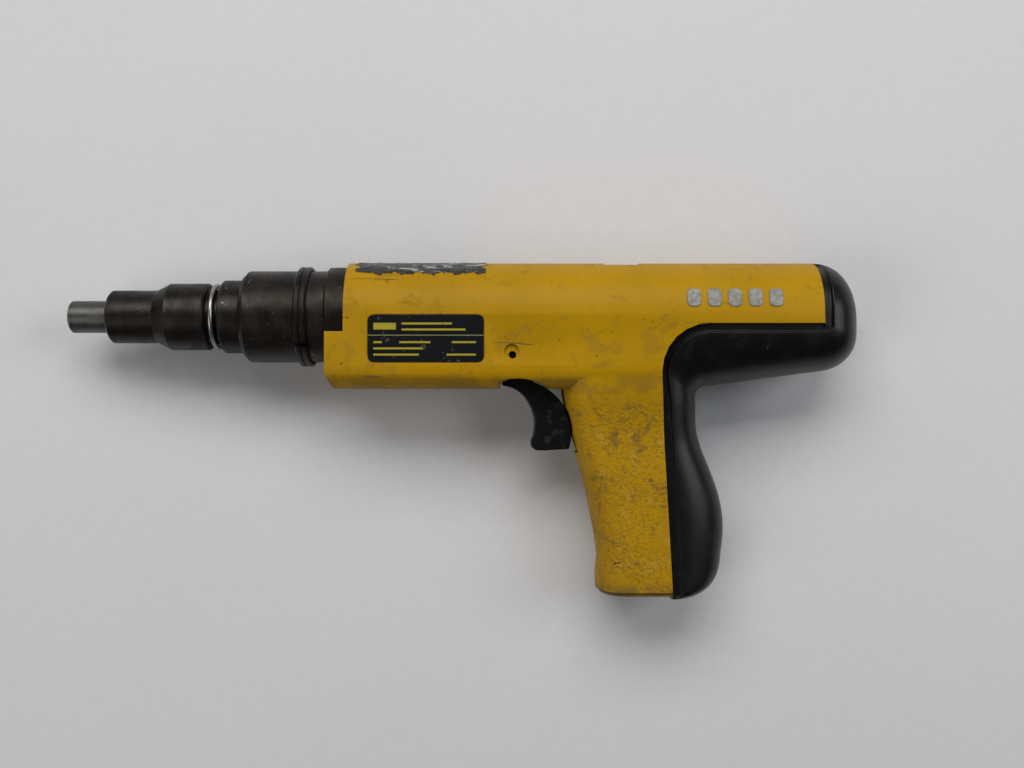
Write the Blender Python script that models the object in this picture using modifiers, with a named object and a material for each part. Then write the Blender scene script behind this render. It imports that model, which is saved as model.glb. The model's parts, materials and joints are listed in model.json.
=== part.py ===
"""Powder-actuated nail gun, lying on its right flank.

The pieces are laid out in the tool's own axes, in metres: X runs back from the muzzle face along the
barrel, Y points up from the barrel's axis when the tool is held level, and Z points out of the left
flank. One empty carries these axes. It stands so that the world's origin is under the middle of the
tool, on the surface that the right flank lies on.
"""

import math

import bmesh
import bpy
import numpy as np
from mathutils import Matrix, Vector

# Gaps between pieces
CLEARANCE = 0.0003  # between pieces that are fixed together
RUNNING = 0.0004  # round a piece that slides or turns
SEAM = 0.0003  # between the two halves of the housing

# Housing: the round-topped body
BODY_RADIUS = 0.0234  # of the round top, and half the width across the flanks
UNDER_DEPTH = 0.0082  # by which the flat underside is further from the barrel's axis than the top is
BODY_CORNER = 0.0096  # rounding from flank to underside
HOUSING_WALL = 0.0015  # over the receiver tube
STEP_Y = -0.0074  # where the front edge steps forward to the lower lip
LIP_LENGTH = 0.0078  # how far the lower lip stands in front of the upper edge
LIP_SLANT_HEIGHT, LIP_SLANT_DEPTH = 0.0058, 0.0030  # of the slanted corner under the lip
REAR_LENGTH = 0.075  # breech block to the back of the housing
PAD_THICKNESS = 0.003  # over the housing's round core

# Housing: the handle
HANDLE_DROP = 0.120  # barrel axis to the handle's base
HANDLE_HALF_WIDTH = 0.017
HANDLE_NOSE = 0.011  # depth of the rounding along the handle's front
HANDLE_WALL = 0.0028
SADDLE_RADIUS = 0.020  # of the pad's edge where the handle meets the body

# Barrel group, which slides
TIP_RADIUS = 0.0070
TIP_LENGTH = 0.0176
NAIL_BORE_RADIUS = 0.0041
MUZZLE_LENGTH = 0.061
MUZZLE_SHOULDER_RADIUS = 0.0116
RETAINER_GAP = 0.006  # holds the annular spring between muzzle and barrel
BARREL_RADIUS = 0.016
PISTON_BORE_RADIUS = 0.0095
MUFFLER_SETBACK = 0.0096  # barrel's front face to the muffler's
COLLAR_SETBACK = 0.024  # muffler's front face to the collar's
COLLAR_WIDTH = 0.0054
CONTACT_TRAVEL = 0.0075  # how far the muzzle is pressed in before the tool can fire
CYCLE_TRAVEL = 0.060  # how far the barrel is pulled out to reset the piston
RECEIVER_LENGTH = 0.1135
RECEIVER_WALL = 0.0012
SPRING_ROOM = 0.018  # contact spring, between muffler and housing

# Piston
PISTON_ROD_RADIUS = 0.0038
PISTON_HEAD_LENGTH = 0.0095
PISTON_PROTRUSION = 0.001  # past the muzzle face when it is fully driven
BUFFER_LENGTH = 0.012
CHAMBER_RADIUS = 0.0036
CHAMBER_LENGTH = 0.0115

# Load strip and firing pin
STRIP_DEPTH = 0.0116  # inside the strip guide along X
STRIP_HALF_WIDTH = 0.0047
GUIDE_WALL = 0.0017
GUIDE_HALF_WIDTH = 0.0070
CORE_WALL = 0.003  # of the housing under the pad
PIN_TIP_RADIUS = 0.0014
PIN_BODY_RADIUS = 0.0050
PIN_GROOVE_RADIUS = 0.0035
PIN_STEM_RADIUS = 0.0022
PIN_FORWARD = 0.004
PIN_BACK = 0.008
NOSE_FRONT, NOSE_REAR = 0.0192, 0.0220  # faces of the sear's nose, behind its pivot
NOSE_Y = -PIN_GROOVE_RADIUS - 0.0006
BEAM_LOW, BEAM_HIGH = NOSE_Y - 0.0091, NOSE_Y - 0.0057  # edges of the sear's beam, below the nose

# Trigger and levers
TRIGGER_HALF_WIDTH = 0.0075
TRIGGER_ARC = 0.0238  # of the housing's edge round the trigger
PIVOT_PIN_RADIUS = 0.0015
SMALL_PIN_RADIUS = 0.0012
POCKET_HALF_WIDTH = 0.0108  # room inside the housing for the trigger, the sear and the stop pin

# Pad
CAP_DEPTH = 0.0188  # rubber behind the body
PAD_TOE = 0.0026  # how far it reaches below the handle's base

# Places along X
BARREL_FRONT = MUZZLE_LENGTH + RETAINER_GAP
MUFFLER_FRONT = BARREL_FRONT + MUFFLER_SETBACK
COLLAR_FRONT = MUFFLER_FRONT + COLLAR_SETBACK
COLLAR_REAR = COLLAR_FRONT + COLLAR_WIDTH
RECEIVER_FRONT = COLLAR_REAR + CONTACT_TRAVEL
RECEIVER_REAR = RECEIVER_FRONT + RECEIVER_LENGTH
LIP_FRONT = RECEIVER_FRONT + 0.001
UPPER_FRONT = LIP_FRONT + LIP_LENGTH
CHANNEL_FRONT = RECEIVER_REAR + 0.0082
STRIP_X = CHANNEL_FRONT + STRIP_DEPTH / 2
BREECH_FRONT = STRIP_X + STRIP_DEPTH / 2 + GUIDE_WALL + 0.0005
BODY_REAR = BREECH_FRONT + REAR_LENGTH
BARREL_REAR = RECEIVER_REAR - 0.0015
MUFFLER_REAR = RECEIVER_REAR - SPRING_ROOM
CHAMBER_FRONT = BARREL_REAR - CHAMBER_LENGTH
STOP_PIN_X = RECEIVER_FRONT + 0.0265
SADDLE_X = BREECH_FRONT + 0.027

# Radii and depths that follow from the housing
BODY_DEPTH = BODY_RADIUS + UNDER_DEPTH
CORE_RADIUS = BODY_RADIUS - PAD_THICKNESS
REAR_BORE_RADIUS = CORE_RADIUS - CORE_WALL
RECEIVER_RADIUS = BODY_RADIUS - HOUSING_WALL - CLEARANCE
RECEIVER_BORE = RECEIVER_RADIUS - RECEIVER_WALL
MUFFLER_RADIUS = RECEIVER_BORE - RUNNING
MUFFLER_BORE = MUFFLER_RADIUS - 0.003
STOP_PIN_RADIUS = 0.0024

# Pivots, as (x, y)
TRIGGER_EAR_RADIUS = 0.0030
TRIGGER_PIVOT = (RECEIVER_REAR - 0.0344, -(RECEIVER_RADIUS + 0.001 + TRIGGER_EAR_RADIUS))
TRIGGER_CENTRE = (RECEIVER_REAR - 0.0315, TRIGGER_PIVOT[1] - 0.0253)
SEAR_PIVOT = (BREECH_FRONT + 0.0022, -(CORE_RADIUS + 0.0004))
PAWL_PIVOT = (BREECH_FRONT + 0.0036, -0.064)
PAD_LINE_Y = -0.0039  # the pad's edge along the flank

# Housing screws, as (x, y, seat's z on the right flank)
HOUSING_SCREWS = (
    (LIP_FRONT + 0.0125, -(RECEIVER_RADIUS + 0.0048), 0.0064 - BODY_RADIUS),
    (TRIGGER_PIVOT[0] - 0.0166, -(RECEIVER_RADIUS + 0.0048), 0.0064 - BODY_RADIUS),
    (BREECH_FRONT + 0.0028, PAWL_PIVOT[1] - 0.011, 0.0018 - HANDLE_HALF_WIDTH),
    (BREECH_FRONT + 0.0035, 0.012 - HANDLE_DROP, 0.0018 - HANDLE_HALF_WIDTH),
    (BREECH_FRONT + 0.051, REAR_BORE_RADIUS - 0.0049, 0.0069 - BODY_RADIUS),
)
SCREW_RADIUS = 0.0013
SCREW_HEAD_RADIUS = 0.0027
SCREW_TIP_Z = 0.008
BOSS_RADIUS = 0.0027
WELL_RADIUS = 0.0016  # of the hole for each screw into the receiver tube

FINE, ROUND, SMALL = 48, 32, 16  # sides of a turned piece
AIR = 0.04  # how far a cutter runs past the piece that it cuts

# Finishes, as (colour, roughness, metallic)
FINISHES = {
    "yellow_plastic": ((0.62, 0.39, 0.012), 0.55, 0.0),
    "black_rubber": ((0.018, 0.019, 0.018), 0.55, 0.0),
    "black_plastic": ((0.02, 0.021, 0.022), 0.35, 0.0),
    "black_oxide_steel": ((0.045, 0.042, 0.038), 0.38, 0.85),
    "bright_steel": ((0.45, 0.44, 0.42), 0.3, 1.0),
    "spring_steel": ((0.3, 0.3, 0.31), 0.35, 1.0),
    "label_film": ((0.015, 0.015, 0.017), 0.3, 0.0),
    "buffer_rubber": ((0.05, 0.04, 0.035), 0.7, 0.0),
}


def clear_scene():
    for obj in list(bpy.data.objects):
        bpy.data.objects.remove(obj, do_unlink=True)


def make_collection(name):
    group = bpy.data.collections.new(name)
    bpy.context.scene.collection.children.link(group)
    return group


def make_finish(name):
    colour, roughness, metallic = FINISHES[name]
    material = bpy.data.materials.new(name)
    material.use_nodes = True
    shader = material.node_tree.nodes["Principled BSDF"]
    shader.inputs["Base Color"].default_value = (*colour, 1.0)
    shader.inputs["Roughness"].default_value = roughness
    shader.inputs["Metallic"].default_value = metallic
    material.diffuse_color = (*colour, 1.0)
    return material


class Workshop:
    """The collections, the pivots and the finishes that every piece is made with."""

    def __init__(self):
        self.parts = make_collection("nail_gun")
        self.cutters = make_collection("cutters")
        self.finishes = {name: make_finish(name) for name in FINISHES}
        self.pivots = {}

    def add_pivot(self, name, position, parent=None):
        """An empty on a joint's axis, at a place given in the tool's axes."""
        empty = bpy.data.objects.new(name, None)
        empty.empty_display_size = 0.01
        self.parts.objects.link(empty)
        empty["place"] = position
        if parent:
            empty.parent = self.pivots[parent]
            position = Vector(position) - Vector(self.pivots[parent]["place"])
        empty.location = position
        self.pivots[name] = empty

    def fit(self, obj, pivot, finish):
        """Makes an object a piece of the tool, carried by a pivot and made of a finish."""
        self.cutters.objects.unlink(obj)
        self.parts.objects.link(obj)
        obj.hide_render = False
        obj.display_type = "TEXTURED"
        empty = self.pivots[pivot]
        obj.parent = empty
        if pivot != "tool_axes":
            obj.matrix_parent_inverse = Matrix.Translation(-Vector(empty["place"]))
        obj.data.materials.append(self.finishes[finish])
        return obj

    def add(self, name, mesh):
        """A new object, which is a cutter until it is fitted."""
        obj = bpy.data.objects.new(name, mesh)
        self.cutters.objects.link(obj)
        obj.hide_render = True
        obj.display_type = "WIRE"
        obj.parent = self.pivots["tool_axes"]
        return obj


def arc(centre, radius, start, end, count):
    """Points on an arc, by angle in degrees."""
    angles = np.radians(np.linspace(start, end, count))
    return [(centre[0] + radius * math.cos(a), centre[1] + radius * math.sin(a)) for a in angles]


def smooth_value(stations, t):
    """Height at t of the smooth curve through stations, which are (t, height) in order."""
    places, heights = np.array(stations, float).T
    slopes = np.gradient(heights, places)
    i = int(np.clip(np.searchsorted(places, t) - 1, 0, len(places) - 2))
    span = places[i + 1] - places[i]
    u = (t - places[i]) / span
    ease = u * u * (3 - 2 * u)
    lean_in = u * (1 - u) ** 2 * slopes[i] * span
    lean_out = u * u * (u - 1) * slopes[i + 1] * span
    return float(heights[i] * (1 - ease) + heights[i + 1] * ease + lean_in + lean_out)


def turn_to(obj, along, place=(0.0, 0.0, 0.0)):
    """Turns an object's own Z to one of the tool's axes."""
    turns = {"X": (0, math.pi / 2, 0), "Y": (-math.pi / 2, 0, 0), "Z": (0, 0, 0)}
    obj.rotation_euler = turns[along]
    obj.location = place
    return obj


def turned(shop, name, outer, bore=(), along="X", place=(0.0, 0.0, 0.0), steps=ROUND):
    """A turned solid. Its outer line and its bore are (distance along the axis, radius), low end first."""
    profile = list(reversed(outer)) + list(bore)
    count = len(profile)
    edges = [(i, i + 1) for i in range(count - 1)]
    if bore:
        edges.append((count - 1, 0))
    mesh = bpy.data.meshes.new(name)
    mesh.from_pydata([(radius, 0.0, distance) for distance, radius in profile], edges, [])
    obj = turn_to(shop.add(name, mesh), along, place)
    screw = obj.modifiers.new("turn", "SCREW")
    screw.axis = "Z"
    screw.steps = steps
    screw.render_steps = steps
    screw.use_merge_vertices = True
    screw.merge_threshold = 0.00001
    screw.use_smooth_shade = True
    return obj


def cylinder(shop, name, low, high, radius, along="X", place=(0.0, 0.0, 0.0), steps=ROUND):
    outer = [(low, 0.0), (low, radius), (high, radius), (high, 0.0)]
    return turned(shop, name, outer, (), along, place, steps)


def block(shop, name, x_range, y_range, z_range):
    ranges = (x_range, y_range, z_range)
    mesh = bpy.data.meshes.new(name)
    shape = bmesh.new()
    bmesh.ops.create_cube(shape, size=1.0)
    bmesh.ops.scale(shape, vec=[high - low for low, high in ranges], verts=shape.verts)
    bmesh.ops.translate(shape, vec=[(high + low) / 2 for low, high in ranges], verts=shape.verts)
    shape.to_mesh(mesh)
    shape.free()
    return shop.add(name, mesh)


def prism(shop, name, outline, low, high, along="Z"):
    """A closed outline drawn out between two planes. Along X, the outline is (z, y)."""
    curve = bpy.data.curves.new(name, "CURVE")
    curve.dimensions = "2D"
    curve.fill_mode = "BOTH"
    curve.extrude = (high - low) / 2
    spline = curve.splines.new("POLY")
    spline.points.add(len(outline) - 1)
    for point, (across, up) in zip(spline.points, outline):
        point.co = (-across if along == "X" else across, up, 0.0, 1.0)
    spline.use_cyclic_u = True
    drawn = shop.add(name + "_outline", curve)
    bpy.context.view_layer.update()
    graph = bpy.context.evaluated_depsgraph_get()
    mesh = bpy.data.meshes.new_from_object(drawn.evaluated_get(graph))
    bpy.data.objects.remove(drawn, do_unlink=True)
    shape = bmesh.new()
    shape.from_mesh(mesh)
    bmesh.ops.remove_doubles(shape, verts=shape.verts, dist=0.000001)
    bmesh.ops.recalc_face_normals(shape, faces=shape.faces)
    shape.to_mesh(mesh)
    shape.free()
    middle = (high + low) / 2
    place = (middle, 0.0, 0.0) if along == "X" else (0.0, 0.0, middle)
    return turn_to(shop.add(name, mesh), along, place)


def loft(shop, name, rings):
    """A solid through closed rings of equally many points, with a face over each end ring."""
    count = len(rings[0])
    shape = bmesh.new()
    rows = [[shape.verts.new(point) for point in ring] for ring in rings]
    for row, following in zip(rows, rows[1:]):
        for i in range(count):
            j = (i + 1) % count
            shape.faces.new((row[i], row[j], following[j], following[i]))
    shape.faces.new(rows[0])
    shape.faces.new(list(reversed(rows[-1])))
    bmesh.ops.remove_doubles(shape, verts=shape.verts, dist=0.000001)
    bmesh.ops.dissolve_degenerate(shape, edges=shape.edges, dist=0.000001)
    bmesh.ops.recalc_face_normals(shape, faces=shape.faces)
    mesh = bpy.data.meshes.new(name)
    shape.to_mesh(mesh)
    shape.free()
    return shop.add(name, mesh)


def coil(shop, name, low, high, radius, wire, turns, along="X", place=(0.0, 0.0, 0.0), sides=12):
    """A helical spring of round wire whose ends lie just inside low and high."""
    count = round(turns * sides) + 1
    curve = bpy.data.curves.new(name, "CURVE")
    curve.dimensions = "3D"
    curve.bevel_depth = wire
    curve.bevel_resolution = 2
    curve.use_fill_caps = True
    spline = curve.splines.new("POLY")
    spline.points.add(count - 1)
    for point, turn in zip(spline.points, np.linspace(0, turns, count)):
        angle = 2 * math.pi * turn
        height = low + wire + (high - low - 2 * wire) * turn / turns
        point.co = (radius * math.cos(angle), radius * math.sin(angle), height, 1.0)
    return turn_to(shop.add(name, curve), along, place)


def change(target, tool, operation):
    modifier = target.modifiers.new(tool.name, "BOOLEAN")
    modifier.operation = operation
    modifier.object = tool


def cut(target, *tools):
    for tool in tools:
        change(target, tool, "DIFFERENCE")
    return target


def join(target, *tools):
    for tool in tools:
        change(target, tool, "UNION")
    return target


def bevel(obj, width, segments=2):
    modifier = obj.modifiers.new("rounding", "BEVEL")
    modifier.width = width
    modifier.segments = segments
    modifier.limit_method = "ANGLE"
    modifier.angle_limit = math.radians(50)
    return obj


def body_section():
    """The housing across the barrel, as (z, y): round top, straight flanks, rounded underside."""
    top = arc((0.0, 0.0), BODY_RADIUS, 0, 180, 25)
    corner_y = BODY_CORNER - BODY_DEPTH
    corner_z = BODY_RADIUS - BODY_CORNER
    left = arc((-corner_z, corner_y), BODY_CORNER, 180, 270, 6)
    right = arc((corner_z, corner_y), BODY_CORNER, 270, 360, 6)
    return top + left + right


def handle_front(y):
    """X of the handle's front edge at a height: nearly straight, with a swell above the base."""
    reach = -y / HANDLE_DROP
    swell = [(0.1, -0.0212), (0.26, -0.0210), (0.475, -0.0156), (0.57, -0.0118), (0.69, -0.0086)]
    foot = [(0.82, -0.0058), (0.875, -0.0050), (0.935, -0.0059), (1.0, -0.0054)]
    return CHANNEL_FRONT + smooth_value(swell + foot, reach)


def handle_back(y):
    """X of the line where the handle meets the pad, below the saddle."""
    saddle = SADDLE_RADIUS - PAD_LINE_Y
    reach = (-y - saddle) / (HANDLE_DROP - saddle)
    return SADDLE_X - SADDLE_RADIUS + 0.0055 * max(reach, 0.0)


def handle_half_width(y):
    """Half the handle's width, which flares out to the flanks where it meets the body."""
    flare = min(max((y + BODY_DEPTH + 0.0244) / 0.034, 0.0), 1.0)
    ease = flare * flare * (3 - 2 * flare)
    return HANDLE_HALF_WIDTH + (BODY_RADIUS - 0.0005 - HANDLE_HALF_WIDTH) * ease


def handle_ring(y, inset=0.0, back=SADDLE_X):
    """The handle across, at one height: a rounded front, and square corners at a back that the pad hides."""
    front = handle_front(y) + inset
    half = handle_half_width(y) - inset
    ring = [(back, y, -half)]
    for angle in np.radians(np.linspace(-90, 90, 11)):
        bow = math.cos(angle) ** 0.85
        ring.append((front + HANDLE_NOSE * (1 - bow), y, half * math.sin(angle)))
    ring.append((back, y, half))
    return ring


def handle_solid(shop):
    """The outside of the handle, from inside the body down to a base with a small chamfer."""
    chamfer = 0.0015
    under_body = (-0.0196, -0.0096, -0.0036, 0.0024, 0.0084, 0.0144, 0.0204, 0.0254)
    heights = [-BODY_DEPTH - drop for drop in under_body]
    heights += list(np.linspace(-BODY_DEPTH - 0.032, 0.0018 - HANDLE_DROP, 9))
    rings = [handle_ring(y) for y in heights]
    rings.append(handle_ring(-HANDLE_DROP, chamfer))
    return loft(shop, "handle_solid", rings)


def pad_edge():
    """The pad's edge on the flank as a line of points, from the body's back to the handle's base."""
    centre = (SADDLE_X, PAD_LINE_Y - SADDLE_RADIUS)
    line = [(BODY_REAR, PAD_LINE_Y)] + arc(centre, SADDLE_RADIUS, 90, 180, 7)
    return line + [(handle_back(y), y) for y in np.linspace(centre[1] - 0.012, -HANDLE_DROP, 6)]


def pad_space(shop):
    """What is cut from the housing for the pad: all behind its edge, except the round core."""
    edge = pad_edge()
    low, far = -HANDLE_DROP - AIR, BODY_REAR + AIR
    outline = [(far, PAD_LINE_Y)] + edge + [(edge[-1][0], low), (far, low)]
    space = prism(shop, "pad_space", outline, -AIR, AIR)
    core = cylinder(shop, "pad_core", STRIP_X, BODY_REAR + 2 * AIR, CORE_RADIUS, steps=FINE)
    return cut(space, core)


def inner_spaces(shop):
    """The cutters for the hollows inside both halves of the housing."""
    rear_start = RECEIVER_REAR + CLEARANCE
    receiver_bore = RECEIVER_RADIUS + CLEARANCE
    guide_half = STRIP_DEPTH / 2 + GUIDE_WALL + CLEARANCE
    pocket = POCKET_HALF_WIDTH
    pocket_back = SEAR_PIVOT[0] + 0.0026
    lobe_y = (HANDLE_WALL - BODY_DEPTH, 0.0064 - RECEIVER_RADIUS)
    wall = HANDLE_WALL
    heights = np.linspace(0.0076 - BODY_DEPTH, 0.0032 - HANDLE_DROP, 8)
    rings = [handle_ring(y, wall, handle_back(y) - wall) for y in heights]
    return [
        cylinder(shop, "receiver_space", LIP_FRONT - AIR, rear_start, receiver_bore, steps=FINE),
        cylinder(shop, "rear_space", rear_start - 0.001, BODY_REAR + AIR, REAR_BORE_RADIUS, steps=FINE),
        block(shop, "lobe_space", (LIP_FRONT + 0.005, pocket_back), lobe_y, (-pocket, pocket)),
        loft(shop, "handle_space", rings),
        block(
            shop,
            "guide_space",
            (STRIP_X - guide_half, STRIP_X + guide_half),
            (-HANDLE_DROP - AIR, AIR),
            (-GUIDE_HALF_WIDTH - CLEARANCE, GUIDE_HALF_WIDTH + CLEARANCE),
        ),
        block(
            shop,
            "sear_space",
            (BREECH_FRONT, SADDLE_X),
            (-(CORE_RADIUS - 0.0011), -PIN_BODY_RADIUS),
            (-0.0033, 0.0033),
        ),
    ]


def trigger_spaces(shop):
    """The round edge cut through both flanks for the trigger, and the slot that it swings into."""
    tongue_x = TRIGGER_PIVOT[0] - 0.005
    first = math.degrees(math.acos((tongue_x - TRIGGER_CENTRE[0]) / TRIGGER_ARC))
    rim = arc(TRIGGER_CENTRE, TRIGGER_ARC, first, -30, 22)
    low = TRIGGER_CENTRE[1] - AIR
    outline = rim + [(rim[-1][0], low), (tongue_x, low)]
    slot_half = TRIGGER_HALF_WIDTH + 0.0007
    slot_x = (tongue_x, RECEIVER_REAR - 0.001)
    slot_y = (TRIGGER_CENTRE[1] - 0.0084, TRIGGER_PIVOT[1] - 0.0014)
    return [
        prism(shop, "trigger_edge", outline, -AIR, AIR),
        block(shop, "trigger_slot", slot_x, slot_y, (-slot_half, slot_half)),
    ]


def bosses(shop, side):
    """Screw bosses that stand from one half's wall nearly to the seam."""
    reach = HANDLE_HALF_WIDTH - 0.0015
    for i, (x, y, _) in enumerate(HOUSING_SCREWS):
        far = reach if y < -0.04 else 0.0135
        low, high = sorted((side * SEAM, side * far))
        yield cylinder(shop, f"boss_{i + 1}", low, high, BOSS_RADIUS, "Z", (x, y, 0.0), 12)


def screw_holes(shop, side):
    """Holes for the housing screws: blind in the left half, and with room for the heads in the right."""
    hole = SCREW_RADIUS + CLEARANCE
    head = SCREW_HEAD_RADIUS + 0.0004
    past_seam = 0.003
    tip = SCREW_TIP_Z + 0.0005
    for i, (x, y, seat) in enumerate(HOUSING_SCREWS):
        outer = [(-past_seam, 0.0), (-past_seam, hole), (tip, hole), (tip, 0.0)]
        if side < 0:
            outer = [(-AIR, 0.0), (-AIR, head), (seat, head), (seat, hole)]
            outer += [(past_seam, hole), (past_seam, 0.0)]
        yield turned(shop, f"screw_hole_{i + 1}", outer, (), "Z", (x, y, 0.0), SMALL)


def pin_holes(shop):
    """Holes in both halves for the pivot pins."""
    pins = (
        ("trigger", TRIGGER_PIVOT, PIVOT_PIN_RADIUS, POCKET_HALF_WIDTH + 0.0027),
        ("sear", SEAR_PIVOT, SMALL_PIN_RADIUS, POCKET_HALF_WIDTH + 0.0027),
        ("pawl", PAWL_PIVOT, SMALL_PIN_RADIUS, HANDLE_HALF_WIDTH - 0.0011),
    )
    for name, (x, y), radius, half in pins:
        hole = radius + CLEARANCE
        yield cylinder(shop, f"{name}_pin_hole", -half, half, hole, "Z", (x, y, 0.0), SMALL)


def receiver_screw_spots():
    """(x, y) of the dimple on each flank, and of the screw hole in its floor."""
    x = TRIGGER_PIVOT[0] + 0.0004
    return (x, 0.0058 - RECEIVER_RADIUS), (x + 0.0003, 0.0044 - RECEIVER_RADIUS)


def screw_well_z():
    """Height at which the hole for the screw into the receiver tube stops, just clear of the tube."""
    upper_edge = receiver_screw_spots()[1][1] + WELL_RADIUS
    return math.sqrt(RECEIVER_RADIUS**2 - upper_edge**2)


def flank_details(shop, side):
    """The dimple and hole for the screw into the receiver tube, and on the left flank the label's recess."""
    dimple, hole = receiver_screw_spots()
    name = "left" if side > 0 else "right"
    spans = [
        ("dimple", dimple, 0.0032, BODY_RADIUS - 0.0014, BODY_RADIUS + AIR),
        ("screw_well", hole, WELL_RADIUS, screw_well_z(), BODY_RADIUS + AIR),
    ]
    for detail, (x, y), radius, low, high in spans:
        low, high = sorted((side * low, side * high))
        yield cylinder(shop, f"{detail}_{name}", low, high, radius, "Z", (x, y, 0.0), 20)
    if side > 0:
        floor = BODY_RADIUS - 0.0004
        yield prism(shop, "nameplate_recess", nameplate_outline(CLEARANCE), floor, floor + AIR)


def nameplate_outline(margin=0.0):
    """A rounded rectangle on the left flank, grown by a margin."""
    left, right = UPPER_FRONT + 0.0105 - margin, TRIGGER_PIVOT[0] - 0.0113 + margin
    low, high = -0.0203 - margin, -0.0005 + margin
    radius = 0.0028 + margin
    points = []
    corners = ((right, high, 0), (left, high, 90), (left, low, 180), (right, low, 270))
    for x, y, start in corners:
        inward_x = -radius if x == right else radius
        inward_y = -radius if y == high else radius
        points += arc((x + inward_x, y + inward_y), radius, start, start + 90, 5)
    return points


def lip_slant(shop):
    """What is cut from the lower lip's front corner, which slants back to the underside."""
    top, back = LIP_SLANT_HEIGHT - BODY_DEPTH, LIP_FRONT + LIP_SLANT_DEPTH
    front, low = LIP_FRONT - AIR, -BODY_DEPTH - AIR
    outline = [(front, top), (LIP_FRONT, top), (back, -BODY_DEPTH), (back, low), (front, low)]
    return prism(shop, "lip_slant", outline, -AIR, AIR)


def make_housing(shop):
    """Both halves of the yellow housing, cut by one set of hollows and parted at the middle."""
    handle = handle_solid(shop)
    space = pad_space(shop)
    step = block(shop, "front_step", (LIP_FRONT - AIR, UPPER_FRONT), (STEP_Y, AIR), (-AIR, AIR))
    slant = lip_slant(shop)
    hollows = inner_spaces(shop) + trigger_spaces(shop)
    holes = list(pin_holes(shop))
    for name, side in (("housing_left", 1), ("housing_right", -1)):
        shell = prism(shop, name, body_section(), LIP_FRONT, BODY_REAR, "X")
        join(shell, handle)
        reach = sorted((side * SEAM / 2, -side * 2 * AIR))
        far = BODY_REAR + AIR
        other = block(shop, f"not_{name}", (0.0, far), (-HANDLE_DROP - AIR, AIR), reach)
        cut(shell, space, step, slant, *hollows, other)
        join(shell, *bosses(shop, side))
        cut(shell, *screw_holes(shop, side), *holes, *flank_details(shop, side))
        shop.fit(shell, "tool_axes", "yellow_plastic")


def pad_stations():
    """(inner point, outer point, half width) across the pad, from the body's top to the handle's base."""
    half = BODY_RADIUS - 0.0002
    gap = CLEARANCE + 0.00005
    back = BODY_REAR + gap
    edge_y = PAD_LINE_Y - CLEARANCE
    drop = 0.0037
    stations = []
    for angle in np.radians((86, 75, 63, 51, 39, 26, 13, 3)):
        y = half * math.sin(angle)
        out = BODY_REAR + CAP_DEPTH * math.cos(angle) ** 0.89
        up = (half + 0.0002 + drop) * math.sin(angle) ** 0.89 - drop
        stations.append(((back, y), (out, up), half * math.cos(angle)))
    corner_x, corner_y = BODY_REAR + 0.003, -0.0085
    wing_depth = BODY_RADIUS + 0.0006
    for angle in np.radians((0, 24, 48, 70, 90)):
        out = corner_x + (CAP_DEPTH - 0.003) * math.cos(angle)
        down = corner_y - (wing_depth + corner_y) * math.sin(angle)
        stations.append(((back, edge_y), (out, down), half))
    under_x, under_y = SADDLE_X + 0.0015, -wing_depth - 0.0065
    for share in (0.15, 0.5, 0.85):
        inner_x = BODY_REAR + (SADDLE_X - BODY_REAR) * share
        out = (corner_x + (under_x - corner_x) * share, -wing_depth + (under_y + wing_depth) * share)
        stations.append(((inner_x, edge_y), out, half))
    centre = (SADDLE_X, PAD_LINE_Y - SADDLE_RADIUS)
    inner = arc(centre, SADDLE_RADIUS - CLEARANCE, 90, 180, 7)
    outer = arc((under_x, under_y - 0.0045), 0.0045, 90, 180, 7)
    grip_half = HANDLE_HALF_WIDTH + 0.0002
    for place, out, blend in zip(inner, outer, np.linspace(0, 0.75, 7)):
        stations.append((place, out, half + (grip_half - half) * blend))
    return stations + grip_stations(grip_half, half + (grip_half - half) * 0.75)


def grip_stations(half, start_half):
    """The pad's stations down the handle's back and round its base."""
    bulge = [(0.0, 0.0166), (0.14, 0.0160), (0.24, 0.0176), (0.36, 0.0212), (0.5, 0.0246)]
    bulge += [(0.62, 0.0257), (0.74, 0.0248), (0.86, 0.0222), (1.0, 0.0180)]
    top = -0.037
    turn_y = -HANDLE_DROP + 0.016
    stations = []
    for share in np.linspace(0.0, 0.80, 9):
        y = top + (-HANDLE_DROP - top) * share
        width = start_half + (half - start_half) * min(share / 0.2, 1.0)
        inner = handle_back(y) + CLEARANCE
        stations.append(((inner, y), (handle_back(y) + smooth_value(bulge, share), y), width))
    foot_x = handle_back(-HANDLE_DROP)
    swing = stations[-1][1][0] - foot_x
    foot = (foot_x + CLEARANCE, -HANDLE_DROP + 0.0006)
    for angle in np.radians((18, 36, 54, 72, 90)):
        out = foot_x + swing * max(math.cos(angle), 0.0) ** 0.83
        down = turn_y - (HANDLE_DROP + PAD_TOE + turn_y) * math.sin(angle) ** 0.83
        share = min(math.degrees(angle) / 36, 1.0)
        start_y = stations[8][0][1]
        inner_y = start_y + (foot[1] - start_y) * share
        stations.append(((handle_back(inner_y) + CLEARANCE, inner_y), (out, down), half))
    return stations


def pad_ring(inner, outer, half):
    """One closed section of the pad: out over the rubber from flank to flank, and straight back."""
    ring = []
    for angle in np.radians(np.linspace(-90, 90, 13)):
        reach = max(math.cos(angle), 0.0) ** 0.87
        side = math.copysign(abs(math.sin(angle)) ** 0.87, angle)
        x = inner[0] + (outer[0] - inner[0]) * reach
        y = inner[1] + (outer[1] - inner[1]) * reach
        ring.append((x, y, half * side))
    return ring


def make_pad(shop):
    """The rubber pad over the back of the body and of the handle, hollowed over the housing's core."""
    rings = [pad_ring(*station) for station in pad_stations()]
    pad = loft(shop, "handle_pad", rings)
    room = CORE_RADIUS + CLEARANCE
    core = cylinder(shop, "pad_hollow", STRIP_X, BODY_REAR + CLEARANCE, room, steps=FINE)
    cut(pad, core)
    shop.fit(pad, "tool_axes", "black_rubber")


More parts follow.
